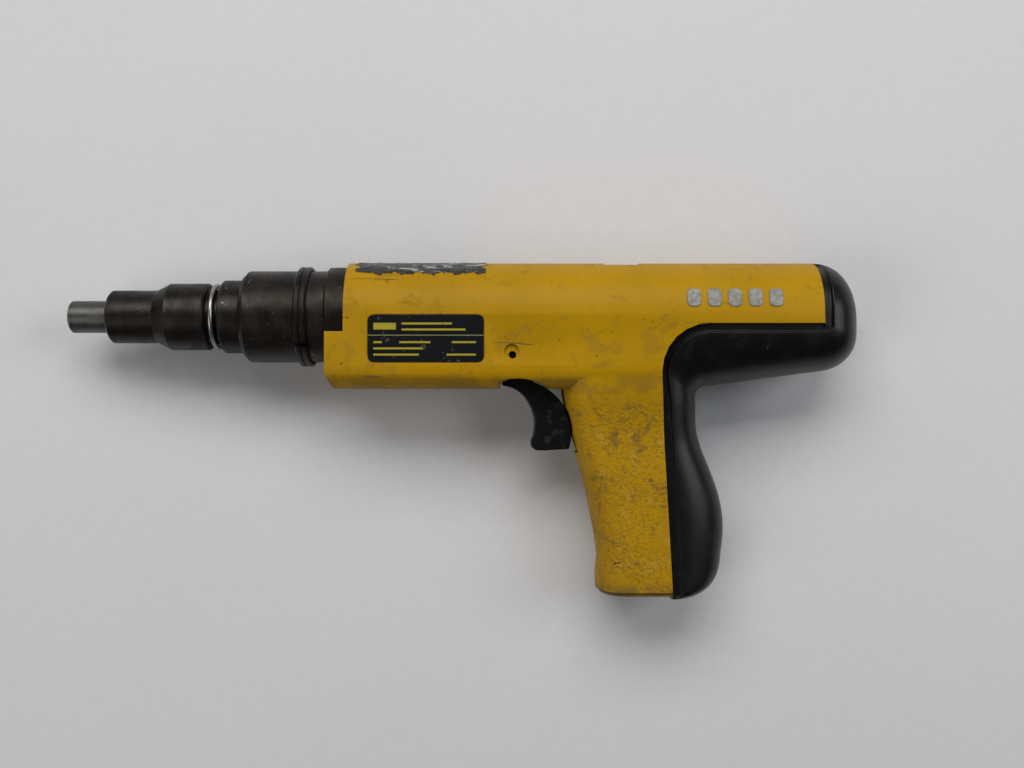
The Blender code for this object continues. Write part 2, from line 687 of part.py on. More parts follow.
def make_labels(shop):
    """The plate in the left flank's recess, and the film over the top of the body."""
    floor = BODY_RADIUS - 0.0004 + CLEARANCE
    plate = prism(shop, "nameplate", nameplate_outline(), floor, floor + 0.0004)
    shop.fit(plate, "tool_axes", "label_film")
    inner = BODY_RADIUS + CLEARANCE
    outline = arc((0, 0), inner + 0.00035, 47, 133, 17) + arc((0, 0), inner, 133, 47, 17)
    start = UPPER_FRONT + 0.0030
    film = prism(shop, "top_label", outline, start, start + 0.0575, "X")
    shop.fit(film, "tool_axes", "label_film")


def make_receiver(shop):
    """The fixed steel tube that the barrel group slides in, its stop pin and its two screws."""
    chamfer = 0.0006
    outer = [
        (RECEIVER_FRONT, RECEIVER_RADIUS - chamfer),
        (RECEIVER_FRONT + chamfer, RECEIVER_RADIUS),
        (RECEIVER_REAR, RECEIVER_RADIUS),
    ]
    bore = [(RECEIVER_FRONT, RECEIVER_BORE), (RECEIVER_REAR, RECEIVER_BORE)]
    tube = turned(shop, "receiver_tube", outer, bore, steps=FINE)
    hole = cylinder(
        shop,
        "stop_pin_hole",
        -RECEIVER_RADIUS - 0.002,
        -RECEIVER_BORE + 0.002,
        STOP_PIN_RADIUS + CLEARANCE,
        "Y",
        (STOP_PIN_X, 0.0, 0.0),
        SMALL,
    )
    shop.fit(cut(tube, hole), "tool_axes", "black_oxide_steel")
    head = -RECEIVER_RADIUS - 0.0045
    outline = [
        (head - 0.0022, 0.0),
        (head - 0.0022, 0.0038),
        (head, 0.0038),
        (head, STOP_PIN_RADIUS),
        (-MUFFLER_BORE - CLEARANCE, STOP_PIN_RADIUS),
        (-MUFFLER_BORE - CLEARANCE, 0.0),
    ]
    pin = turned(shop, "stop_pin", outline, (), "Y", (STOP_PIN_X, 0.0, 0.0), SMALL)
    shop.fit(pin, "tool_axes", "bright_steel")
    x, y = receiver_screw_spots()[1]
    for name, side in (("left", 1), ("right", -1)):
        low, high = sorted((side * (screw_well_z() + CLEARANCE), side * (BODY_RADIUS - 0.0039)))
        screw = cylinder(shop, f"receiver_screw_{name}", low, high, 0.0013, "Z", (x, y, 0.0), SMALL)
        shop.fit(screw, "tool_axes", "black_oxide_steel")


def make_housing_screws(shop):
    """Screws across the two halves, each with a socket in its head."""
    for i, (x, y, seat) in enumerate(HOUSING_SCREWS):
        under = seat - CLEARANCE
        top = under - 0.0014
        outline = [
            (top, 0.0),
            (top, SCREW_HEAD_RADIUS - 0.0003),
            (top + 0.0003, SCREW_HEAD_RADIUS),
            (under, SCREW_HEAD_RADIUS),
            (under, SCREW_RADIUS),
            (SCREW_TIP_Z, SCREW_RADIUS),
            (SCREW_TIP_Z, 0.0),
        ]
        screw = turned(shop, f"housing_screw_{i + 1}", outline, (), "Z", (x, y, 0.0), SMALL)
        socket = cylinder(shop, f"socket_{i + 1}", top - 0.002, top + 0.0009, 0.0012, "Z", (x, y, 0.0), 6)
        shop.fit(cut(screw, socket), "tool_axes", "black_oxide_steel")


def make_strip_guide(shop):
    """The square steel duct that the load strip climbs through, with ways in for barrel, pin and pawl."""
    half = STRIP_DEPTH / 2 + GUIDE_WALL
    foot, top = -HANDLE_DROP + 0.0004, BODY_RADIUS - 0.0016
    width = GUIDE_HALF_WIDTH
    duct = block(shop, "strip_guide", (STRIP_X - half, STRIP_X + half), (foot, top), (-width, width))
    inside = STRIP_HALF_WIDTH
    depth = (CHANNEL_FRONT, CHANNEL_FRONT + STRIP_DEPTH)
    channel = block(shop, "strip_channel", depth, (-HANDLE_DROP - AIR, AIR), (-inside, inside))
    muzzle_way = cylinder(shop, "load_hole", STRIP_X - half - 0.002, STRIP_X, 0.0044, steps=20)
    pin_way = cylinder(shop, "striker_hole", STRIP_X, STRIP_X + half + 0.002, 0.0019, steps=SMALL)
    pawl_way = block(
        shop,
        "pawl_slot",
        (STRIP_X, STRIP_X + half + 0.002),
        (PAWL_PIVOT[1] + 0.008, PAWL_PIVOT[1] + 0.020),
        (-0.0025, 0.0025),
    )
    shop.fit(cut(duct, channel, muzzle_way, pin_way, pawl_way), "tool_axes", "bright_steel")


def make_breech(shop):
    """The breech block behind the strip, the firing pin's guide, and the plug that closes the body."""
    radius = REAR_BORE_RADIUS - CLEARANCE
    front = BREECH_FRONT
    rear = front + 0.006
    block_outer = [(front, radius), (rear, radius)]
    breech = turned(shop, "breech_block", block_outer, [(front, 0.0019), (rear, 0.0019)], steps=FINE)
    over_sear = BEAM_LOW - 0.0023
    flat = block(shop, "breech_flat", (front - AIR, rear + AIR), (-AIR, over_sear), (-AIR, AIR))
    shop.fit(cut(breech, flat), "tool_axes", "bright_steel")
    start, end = rear + CLEARANCE, BODY_REAR - 0.0055
    tube = PIN_BODY_RADIUS + RUNNING
    guide_outer = [(start, 0.008), (end - 0.003, 0.008), (end - 0.003, radius), (end, radius)]
    guide_bore = [(start, tube), (end - 0.003, tube), (end - 0.003, 0.0026), (end, 0.0026)]
    guide = turned(shop, "firing_pin_guide", guide_outer, guide_bore)
    nose_x = SEAR_PIVOT[0] + NOSE_FRONT
    slot = block(shop, "sear_slot", (nose_x - 0.0024, nose_x + 0.0078), (-0.012, -0.002), (-0.0032, 0.0032))
    shop.fit(cut(guide, slot), "tool_axes", "bright_steel")
    plug = cylinder(shop, "rear_plug", end + CLEARANCE, BODY_REAR - 0.0006, radius, steps=FINE)
    shop.fit(plug, "tool_axes", "black_oxide_steel")


def make_pivot_pins(shop):
    """The trigger's, the sear's and the feed pawl's pins, each with its torsion spring."""
    pins = (
        ("trigger", TRIGGER_PIVOT, PIVOT_PIN_RADIUS, POCKET_HALF_WIDTH + 0.0024, -0.0105, -0.0080, 0.0023, 3),
        ("sear", SEAR_PIVOT, SMALL_PIN_RADIUS, POCKET_HALF_WIDTH + 0.0024, -0.0095, -0.0032, 0.0019, 5),
        ("feed_pawl", PAWL_PIVOT, SMALL_PIN_RADIUS, HANDLE_HALF_WIDTH - 0.0014, 0.0026, 0.0062, 0.0019, 4),
    )
    for name, (x, y), radius, half, low, high, mean, turns in pins:
        place = (x, y, 0.0)
        pin = cylinder(shop, f"{name}_pin", -half, half, radius, "Z", place, SMALL)
        shop.fit(pin, "tool_axes", "bright_steel")
        spring = coil(shop, f"{name}_spring", low, high, mean, 0.0003, turns, "Z", place, sides=8)
        shop.fit(spring, "tool_axes", "spring_steel")


def make_springs(shop):
    """The contact spring behind the muffler, and the firing pin's spring."""
    start, end = MUFFLER_REAR + CLEARANCE, RECEIVER_REAR
    spring = coil(shop, "contact_spring", start, end, RECEIVER_BORE - 0.002, 0.0008, 4.5)
    shop.fit(spring, "tool_axes", "spring_steel")
    start, end = BREECH_FRONT + 0.0423, BODY_REAR - 0.0088
    spring = coil(shop, "firing_pin_spring", start, end, 0.0037, 0.0005, 7, sides=8)
    shop.fit(spring, "tool_axes", "spring_steel")


def make_muzzle(shop):
    """The nose that is pressed on the work, and the ring spring that holds it on the barrel."""
    rim = 0.0005
    spigot = 0.012
    socket_end = BARREL_FRONT + 0.0076
    outer = [
        (0.0, TIP_RADIUS - rim),
        (rim, TIP_RADIUS),
        (TIP_LENGTH, TIP_RADIUS),
        (TIP_LENGTH, MUZZLE_SHOULDER_RADIUS - 0.0008),
        (TIP_LENGTH + 0.0008, MUZZLE_SHOULDER_RADIUS),
        (MUZZLE_LENGTH - 0.023, MUZZLE_SHOULDER_RADIUS),
        (MUZZLE_LENGTH - 0.017, BARREL_RADIUS - 0.0014),
        (MUZZLE_LENGTH - rim, BARREL_RADIUS - 0.0014),
        (MUZZLE_LENGTH, BARREL_RADIUS - 0.0019),
        (MUZZLE_LENGTH, spigot),
        (BARREL_FRONT - 0.0006, spigot),
        (BARREL_FRONT - 0.0006, spigot - 0.001),
        (socket_end, spigot - 0.001),
    ]
    bore = [(0.0, NAIL_BORE_RADIUS), (socket_end, NAIL_BORE_RADIUS)]
    shop.fit(turned(shop, "muzzle_bushing", outer, bore), "barrel_axis", "black_oxide_steel")
    centre = (MUZZLE_LENGTH + RETAINER_GAP / 2, 0.0)
    wire = 0.0011
    ring = [(centre[0] + x, spigot + 0.0014 + y) for x, y in arc((0, 0), wire, 180, 0, 6)]
    inner = [(centre[0] + x, spigot + 0.0014 + y) for x, y in arc((0, 0), wire, 180, 360, 6)[1:-1]]
    shop.fit(turned(shop, "annular_spring", ring, inner), "barrel_axis", "spring_steel")


def make_barrel(shop):
    """The barrel tube with its rod guide, the chamber plug in its rear, and what stops the piston."""
    edge = 0.0008
    shoulder = BARREL_FRONT + 0.0287
    socket = BARREL_FRONT + 0.008
    guide = PISTON_ROD_RADIUS + 0.0005
    outer = [
        (BARREL_FRONT, BARREL_RADIUS - edge),
        (BARREL_FRONT + edge, BARREL_RADIUS),
        (BARREL_REAR - edge, BARREL_RADIUS),
        (BARREL_REAR, BARREL_RADIUS - edge),
    ]
    bore = [
        (BARREL_FRONT, 0.0113),
        (socket, 0.0113),
        (socket, guide),
        (shoulder, guide),
        (shoulder, PISTON_BORE_RADIUS),
        (BARREL_REAR, PISTON_BORE_RADIUS),
    ]
    shop.fit(turned(shop, "barrel", outer, bore), "barrel_axis", "black_oxide_steel")
    fit = PISTON_BORE_RADIUS - CLEARANCE
    plug = [(CHAMBER_FRONT, fit), (BARREL_REAR, fit)]
    chamber = [(CHAMBER_FRONT, CHAMBER_RADIUS), (BARREL_REAR, CHAMBER_RADIUS)]
    shop.fit(turned(shop, "chamber_plug", plug, chamber, steps=24), "barrel_axis", "bright_steel")
    start = shoulder + CLEARANCE
    end = start + BUFFER_LENGTH
    hole = [(start, guide), (end, guide)]
    buffer = turned(shop, "piston_buffer", [(start, fit), (end, fit)], hole, steps=24)
    shop.fit(buffer, "barrel_axis", "buffer_rubber")
    start = end + CLEARANCE
    hole = [(start, guide), (start + 0.002, guide)]
    washer = turned(shop, "buffer_washer", [(start, fit), (start + 0.002, fit)], hole, steps=24)
    shop.fit(washer, "barrel_axis", "bright_steel")
    return start + 0.002


def make_muffler(shop):
    """The sleeve that slides in the receiver tube, slotted for the stop pin, and its split collar."""
    edge = 0.0008
    front_wall = MUFFLER_FRONT + 0.0074
    neck = BARREL_RADIUS + CLEARANCE
    outer = [
        (MUFFLER_FRONT, MUFFLER_RADIUS - edge),
        (MUFFLER_FRONT + edge, MUFFLER_RADIUS),
        (MUFFLER_REAR, MUFFLER_RADIUS),
    ]
    bore = [
        (MUFFLER_FRONT, neck),
        (front_wall, neck),
        (front_wall, MUFFLER_BORE),
        (MUFFLER_REAR, MUFFLER_BORE),
    ]
    sleeve = turned(shop, "muffler_sleeve", outer, bore, steps=FINE)
    room = STOP_PIN_RADIUS + RUNNING
    slot = block(
        shop,
        "stop_slot",
        (STOP_PIN_X - room - CONTACT_TRAVEL, STOP_PIN_X + room + CYCLE_TRAVEL),
        (-MUFFLER_RADIUS - 0.002, -MUFFLER_BORE + 0.002),
        (-room, room),
    )
    shop.fit(cut(sleeve, slot), "barrel_axis", "black_oxide_steel")
    rim = 0.0006
    high = RECEIVER_RADIUS + 0.0002
    ring = [
        (COLLAR_FRONT, high - rim),
        (COLLAR_FRONT + rim, high),
        (COLLAR_REAR - rim, high),
        (COLLAR_REAR, high - rim),
    ]
    seat = MUFFLER_RADIUS + CLEARANCE
    collar = turned(shop, "collar_ring", ring, [(COLLAR_FRONT, seat), (COLLAR_REAR, seat)], steps=FINE)
    width = (COLLAR_FRONT - 0.001, COLLAR_REAR + 0.001)
    split = block(shop, "collar_split", width, (-0.0135, -0.0115), (0.005, AIR))
    shop.fit(cut(collar, split), "barrel_axis", "black_oxide_steel")


def make_piston(shop, buffer_end):
    """The driving piston at its rear, ready position, with the ring that seals its head."""
    head_rear = CHAMBER_FRONT - CLEARANCE
    head_front = head_rear - PISTON_HEAD_LENGTH
    stroke = head_front - buffer_end - CLEARANCE
    tip = stroke - PISTON_PROTRUSION
    head = PISTON_BORE_RADIUS - RUNNING
    groove = head_front + 0.0035
    outline = [
        (tip, 0.0),
        (tip, PISTON_ROD_RADIUS - 0.0004),
        (tip + 0.0004, PISTON_ROD_RADIUS),
        (head_front, PISTON_ROD_RADIUS),
        (head_front, head),
        (groove, head),
        (groove, head - 0.0016),
        (groove + 0.0022, head - 0.0016),
        (groove + 0.0022, head),
        (head_rear, head),
        (head_rear, 0.0),
    ]
    shop.fit(turned(shop, "piston", outline, steps=24), "piston_axis", "bright_steel")
    low, high = groove + CLEARANCE, groove + 0.0022 - CLEARANCE
    bore = [(low, head - 0.0013), (high, head - 0.0013)]
    ring = turned(shop, "piston_ring", [(low, head + 0.0001), (high, head + 0.0001)], bore, steps=24)
    shop.fit(ring, "piston_axis", "spring_steel")


def trigger_outline():
    """The trigger from the side: a tongue along the housing, a finger curve, and a lip at its foot."""
    cx, cy = TRIGGER_CENTRE
    back = arc(TRIGGER_CENTRE, TRIGGER_ARC - 0.0005, 107, -17, 16)
    front = [
        (0.0110, -0.0075),
        (0.0076, -0.0071),
        (0.0060, -0.0058),
        (0.0057, -0.0042),
        (0.0067, -0.0012),
        (0.0073, 0.0032),
        (0.0070, 0.0068),
        (0.0060, 0.0103),
        (0.0040, 0.0141),
        (0.0012, 0.0175),
        (-0.0021, 0.0195),
        (-0.0065, 0.0207),
    ]
    return back + [(cx + x, cy + y) for x, y in front]


def make_trigger(shop):
    """The trigger with its pivot ear inside the housing, and the lug that lifts the sear."""
    half = TRIGGER_HALF_WIDTH
    x, y = TRIGGER_PIVOT
    trigger = bevel(prism(shop, "trigger", trigger_outline(), -half, half), 0.0012)
    ear = cylinder(shop, "trigger_ear", -half, half, TRIGGER_EAR_RADIUS, "Z", (x, y, 0.0), 20)
    end = RECEIVER_REAR + 0.0045
    lug = block(shop, "trigger_lug", (x, end), (y - 0.0029, y - 0.0008), (0.0050, 0.0098))
    toe_x = (RECEIVER_REAR + 0.0013, end)
    toe = block(shop, "trigger_toe", toe_x, (y - 0.0027, y + 0.0006), (0.0052, 0.0096))
    radius = PIVOT_PIN_RADIUS + CLEARANCE
    hole = cylinder(shop, "trigger_bore", -AIR, AIR, radius, "Z", (x, y, 0.0), SMALL)
    shop.fit(cut(join(trigger, ear, lug, toe), hole), "trigger_axis", "black_plastic")


def make_sear(shop):
    """The rocker that the trigger lifts in front, and whose nose stands in the firing pin's groove."""
    x, y = SEAR_PIVOT
    outline = [
        (x - 0.0010, y - 0.0016),
        (x + 0.0018, y - 0.0016),
        (x + 0.0018, y + 0.0022),
        (x + 0.0076, BEAM_LOW - 0.0034),
        (x + 0.0084, BEAM_LOW),
        (x + NOSE_REAR, BEAM_LOW),
        (x + NOSE_REAR, NOSE_Y),
        (x + NOSE_FRONT, NOSE_Y),
        (x + NOSE_FRONT, BEAM_HIGH),
        (x + 0.0052, BEAM_HIGH),
        (x + 0.0044, BEAM_LOW - 0.0025),
        (x - 0.0010, y + 0.0032),
    ]
    crank = prism(shop, "sear", outline, -0.0024, 0.0024)
    hub = cylinder(shop, "sear_hub", -0.0024, 0.0100, 0.0022, "Z", (x, y, 0.0), SMALL)
    arm = block(shop, "sear_arm", (RECEIVER_REAR + 0.0014, x), (y - 0.0016, y + 0.0006), (0.0078, 0.0100))
    hole = cylinder(shop, "sear_bore", -AIR, AIR, SMALL_PIN_RADIUS + CLEARANCE, "Z", (x, y, 0.0), SMALL)
    shop.fit(cut(join(crank, hub, arm), hole), "sear_axis", "bright_steel")


def make_firing_pin(shop):
    """The firing pin, with a long groove so that the sear's nose meets it only when it is drawn back."""
    nose_front = SEAR_PIVOT[0] + NOSE_FRONT
    nose_rear = SEAR_PIVOT[0] + NOSE_REAR
    groove_front = nose_front - PIN_BACK - 0.0004
    groove_rear = nose_rear + PIN_FORWARD + 0.0004
    tip = STRIP_X + STRIP_DEPTH / 2 + 0.003
    body = BREECH_FRONT + 0.0104
    outline = [
        (tip, 0.0),
        (tip, PIN_TIP_RADIUS),
        (body, PIN_TIP_RADIUS),
        (body, PIN_BODY_RADIUS),
        (groove_front, PIN_BODY_RADIUS),
        (groove_front, PIN_GROOVE_RADIUS),
        (groove_rear, PIN_GROOVE_RADIUS),
        (groove_rear, PIN_BODY_RADIUS),
        (BREECH_FRONT + 0.042, PIN_BODY_RADIUS),
        (BREECH_FRONT + 0.042, PIN_STEM_RADIUS),
        (BREECH_FRONT + 0.054, PIN_STEM_RADIUS),
        (BREECH_FRONT + 0.054, 0.0),
    ]
    shop.fit(turned(shop, "firing_pin", outline, steps=24), "firing_pin_axis", "bright_steel")


def make_feed_pawl(shop):
    """The lever behind the strip guide whose tooth pushes the load strip up."""
    x, y = PAWL_PIVOT
    offsets = [
        (0.0020, 0.0),
        (-0.0011, 0.0175),
        (-0.0054, 0.0165),
        (-0.0054, 0.0140),
        (-0.0029, 0.0140),
        (-0.0024, 0.0040),
        (-0.0023, 0.0),
    ]
    arm = prism(shop, "feed_pawl", [(x + dx, y + dy) for dx, dy in offsets], -0.002, 0.002)
    hub = cylinder(shop, "pawl_hub", -0.002, 0.002, 0.0024, "Z", (x, y, 0.0), SMALL)
    hole = cylinder(shop, "pawl_bore", -AIR, AIR, SMALL_PIN_RADIUS + CLEARANCE, "Z", (x, y, 0.0), SMALL)
    shop.fit(cut(join(arm, hub), hole), "feed_pawl_axis", "bright_steel")


def add_pivots(shop):
    """The tool's axes over the world's origin, and an empty on the axis of each piece that moves."""
    length = BODY_REAR + CAP_DEPTH
    top = BODY_RADIUS + CLEARANCE + 0.00035
    bottom = -HANDLE_DROP - PAD_TOE
    shop.add_pivot("tool_axes", (-length / 2, -(top + bottom) / 2, BODY_RADIUS))
    shop.pivots["tool_axes"]["place"] = (0.0, 0.0, 0.0)
    shop.add_pivot("barrel_axis", (0.0, 0.0, 0.0), "tool_axes")
    shop.add_pivot("piston_axis", (CHAMBER_FRONT, 0.0, 0.0), "barrel_axis")
    shop.add_pivot("firing_pin_axis", (STRIP_X, 0.0, 0.0), "tool_axes")
    shop.add_pivot("trigger_axis", (*TRIGGER_PIVOT, 0.0), "tool_axes")
    shop.add_pivot("sear_axis", (*SEAR_PIVOT, 0.0), "tool_axes")
    shop.add_pivot("feed_pawl_axis", (*PAWL_PIVOT, 0.0), "tool_axes")


def main():
    clear_scene()
    shop = Workshop()
    add_pivots(shop)
    make_housing(shop)
    make_pad(shop)
    make_labels(shop)
    make_receiver(shop)
    make_housing_screws(shop)
    make_strip_guide(shop)
    make_breech(shop)
    make_pivot_pins(shop)
    make_springs(shop)
    make_muzzle(shop)
    buffer_end = make_barrel(shop)
    make_muffler(shop)
    make_piston(shop, buffer_end)
    make_trigger(shop)
    make_sear(shop)
    make_firing_pin(shop)
    make_feed_pawl(shop)
    bpy.context.view_layer.update()


main()
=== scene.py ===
import json
import math

import bmesh
import bpy
import numpy as np
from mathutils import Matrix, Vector


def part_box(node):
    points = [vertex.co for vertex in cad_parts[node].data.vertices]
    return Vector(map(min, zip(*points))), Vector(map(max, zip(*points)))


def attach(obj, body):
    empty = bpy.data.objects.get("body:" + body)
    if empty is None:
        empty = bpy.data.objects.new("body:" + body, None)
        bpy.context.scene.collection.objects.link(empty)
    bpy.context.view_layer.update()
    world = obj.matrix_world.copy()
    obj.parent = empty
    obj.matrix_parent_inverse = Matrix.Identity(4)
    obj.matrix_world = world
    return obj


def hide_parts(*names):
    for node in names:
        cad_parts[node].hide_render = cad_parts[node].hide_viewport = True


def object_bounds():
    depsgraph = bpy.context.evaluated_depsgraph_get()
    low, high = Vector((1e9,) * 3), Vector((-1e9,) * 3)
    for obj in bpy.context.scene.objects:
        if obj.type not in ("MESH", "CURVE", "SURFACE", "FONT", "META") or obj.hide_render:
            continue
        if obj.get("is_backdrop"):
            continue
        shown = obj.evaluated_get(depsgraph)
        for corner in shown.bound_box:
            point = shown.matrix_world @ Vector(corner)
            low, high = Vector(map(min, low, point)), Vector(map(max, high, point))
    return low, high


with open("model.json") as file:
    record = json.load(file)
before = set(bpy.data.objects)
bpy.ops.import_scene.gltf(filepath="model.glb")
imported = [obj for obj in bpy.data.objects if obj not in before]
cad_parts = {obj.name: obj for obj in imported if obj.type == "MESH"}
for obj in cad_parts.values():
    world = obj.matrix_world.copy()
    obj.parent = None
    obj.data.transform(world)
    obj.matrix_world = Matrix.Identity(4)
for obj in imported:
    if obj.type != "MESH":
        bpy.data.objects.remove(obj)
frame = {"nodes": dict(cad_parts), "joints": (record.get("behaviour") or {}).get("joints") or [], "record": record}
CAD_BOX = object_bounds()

# ---------------------------------------------------------------- places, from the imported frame

muzzle_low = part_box("muzzle_bushing")[0]
receiver_low, receiver_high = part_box("receiver_tube")
muffler_low, muffler_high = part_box("muffler_sleeve")
collar_low, collar_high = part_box("collar_ring")
barrel_low, barrel_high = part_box("barrel")
housing_low, housing_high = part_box("housing_left")
guide_low, guide_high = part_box("strip_guide")
plate_low, plate_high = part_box("nameplate")
film_low, film_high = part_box("top_label")
pad_low, pad_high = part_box("handle_pad")
trigger_pivot = next(j["pos_m"] for j in frame["joints"] if j["name"] == "trigger_pull")

# The tool's own origin: on the barrel's axis, at the muzzle's face
ORIGIN = np.array([muzzle_low.x, (barrel_low.y + barrel_high.y) / 2, (barrel_low.z + barrel_high.z) / 2])
BODY_RADIUS = ORIGIN[2]
BODY_REAR = housing_high.x - ORIGIN[0]
STRIP_X = (guide_low.x + guide_high.x) / 2 - ORIGIN[0]
HANDLE_DROP = ORIGIN[1] - housing_low.y
BARREL_FRONT = barrel_low.x - ORIGIN[0]
BARREL_RADIUS = (barrel_high.y - barrel_low.y) / 2
RECEIVER_FRONT = receiver_low.x - ORIGIN[0]
RECEIVER_REAR = receiver_high.x - ORIGIN[0]
RECEIVER_RADIUS = (receiver_high.y - receiver_low.y) / 2
MUFFLER_FRONT = muffler_low.x - ORIGIN[0]
MUFFLER_REAR = muffler_high.x - ORIGIN[0]
MUFFLER_RADIUS = (muffler_high.y - muffler_low.y) / 2
COLLAR_FRONT = collar_low.x - ORIGIN[0]
COLLAR_REAR = collar_high.x - ORIGIN[0]
COLLAR_RADIUS = (collar_high.y - collar_low.y) / 2
PIVOT = np.array(trigger_pivot) - ORIGIN

# The barrel group's bores and walls, and the pin that stops it
NAIL_BORE_RADIUS = 0.0041
ROD_BORE_RADIUS = 0.0043
PISTON_BORE_RADIUS = 0.0095
SOCKET_RADIUS = 0.0113
SOCKET_DEPTH = 0.0080
SPIGOT_RADIUS = 0.0120
SLEEVE_WALL = 0.0030
RECEIVER_WALL = 0.0012
STOP_PIN_X = RECEIVER_FRONT + 0.0265
STOP_PIN_ROOM = 0.0027

# The trigger's blade: half its width, and the middle of its rear arc
TRIGGER_HALF_WIDTH = 0.0075
TRIGGER_CENTRE = PIVOT + (0.0029, -0.0253, 0.0)

# The pad: its edge on the flank, how far it stays in from the housing's surface, and its sunk lip
PAD_LINE_Y = -0.0039
PAD_INSET = 0.0002
LIP_WIDTH = 0.0034
LIP_DEPTH = 0.0013
LIP_SOFTNESS = 0.0007
SADDLE_X = STRIP_X + 0.035
SADDLE_RADIUS = 0.020
PAD_TOE = ORIGIN[1] - pad_low.y - HANDLE_DROP
CAP_DEPTH = pad_high.x - ORIGIN[0] - BODY_REAR
HANDLE_HALF_WIDTH = 0.017

# Camera: over the tool, looking straight down
CAMERA_OVER = Vector((0.0217, 0.0198, 0.4884))
LENS = 37.15


# ---------------------------------------------------------------- shader maths


class Value:
    """One output of a material's nodes. Arithmetic on it adds Math nodes."""

    def __init__(self, finish, socket):
        self.finish = finish
        self.socket = socket

    def math(self, operation, first, second):
        return self.finish.node("Math", {"operation": operation}, {0: first, 1: second})

    def __add__(self, other):
        return self.math("ADD", self, other)

    def __radd__(self, other):
        return self.math("ADD", other, self)

    def __sub__(self, other):
        return self.math("SUBTRACT", self, other)

    def __rsub__(self, other):
        return self.math("SUBTRACT", other, self)

    def __mul__(self, other):
        return self.math("MULTIPLY", self, other)

    def __rmul__(self, other):
        return self.math("MULTIPLY", other, self)

    def over(self, edge, soft):
        """0 below the edge and 1 above it, with a soft step between."""
        limits = {"From Min": edge - soft / 2, "From Max": edge + soft / 2, "To Min": 0.0, "To Max": 1.0}
        settings = {"interpolation_type": "SMOOTHSTEP", "clamp": True}
        return self.finish.node("MapRange", settings, {"Value": self, **limits})

    def under(self, edge, soft):
        return 1 - self.over(edge, soft)

    def within(self, low, high, soft):
        return self.over(low, soft) * self.under(high, soft)


class Finish:
    """A procedural material in the making, on the coordinates of the piece that it covers."""

    def __init__(self, name):
        self.material = bpy.data.materials.new(name)
        self.material.use_nodes = True
        self.tree = self.material.node_tree
        self.shader = self.tree.nodes["Principled BSDF"]
        coordinates = self.tree.nodes.new("ShaderNodeTexCoord")
        self.place = Value(self, coordinates.outputs["Object"])
        split = self.tree.nodes.new("ShaderNodeSeparateXYZ")
        self.tree.links.new(coordinates.outputs["Object"], split.inputs[0])
        self.x, self.y, self.z = (Value(self, split.outputs[i]) for i in range(3))

    def node(self, kind, settings, inputs, output=0):
        """Adds a node: first its settings, then the values or links of its sockets."""
        made = self.tree.nodes.new("ShaderNode" + kind)
        for key, value in settings.items():
            setattr(made, key, value)
        for key, value in inputs.items():
            if isinstance(value, Value):
                self.tree.links.new(value.socket, made.inputs[key])
            else:
                made.inputs[key].default_value = value
        return Value(self, made.outputs[output])

    def stretched(self, stretch):
        """The coordinates, multiplied along each axis."""
        return self.node("Mapping", {"vector_type": "POINT"}, {"Vector": self.place, "Scale": stretch})

    def noise(self, scale, detail=3.0, roughness=0.55, distortion=0.0, stretch=None):
        """Cloudy noise, finer with more detail, and drawn out where the stretch is under 1."""
        vector = self.stretched(stretch) if stretch else self.place
        sockets = {"Vector": vector, "Scale": scale, "Detail": detail}
        return self.node("TexNoise", {}, {**sockets, "Roughness": roughness, "Distortion": distortion})

    def cells(self, scale):
        """Round cells with soft borders, as in leather grain."""
        return self.node("TexVoronoi", {"feature": "SMOOTH_F1"}, {"Vector": self.place, "Scale": scale})

    def mix(self, first, second, share):
        """From one colour to another. Sockets 6 and 7 are the colours, and output 2 is their mix."""
        return self.node("Mix", {"data_type": "RGBA"}, {0: share, 6: first, 7: second}, 2)

    def bump(self, height, distance, strength, normal=None):
        """A relief of a height in metres, on top of another relief when one is given."""
        sockets = {"Height": height, "Distance": distance, "Strength": strength}
        if normal:
            sockets["Normal"] = normal
        return self.node("Bump", {}, sockets)

    def set(self, **sockets):
        """Values or links for the shader's sockets. Underscores stand for spaces."""
        for key, value in sockets.items():
            socket = self.shader.inputs[key.replace("_", " ")]
            if isinstance(value, Value):
                self.tree.links.new(value.socket, socket)
            else:
                socket.default_value = value
        return self.material


def rgb(red, green, blue):
    return (red, green, blue, 1.0)


# ---------------------------------------------------------------- finishes


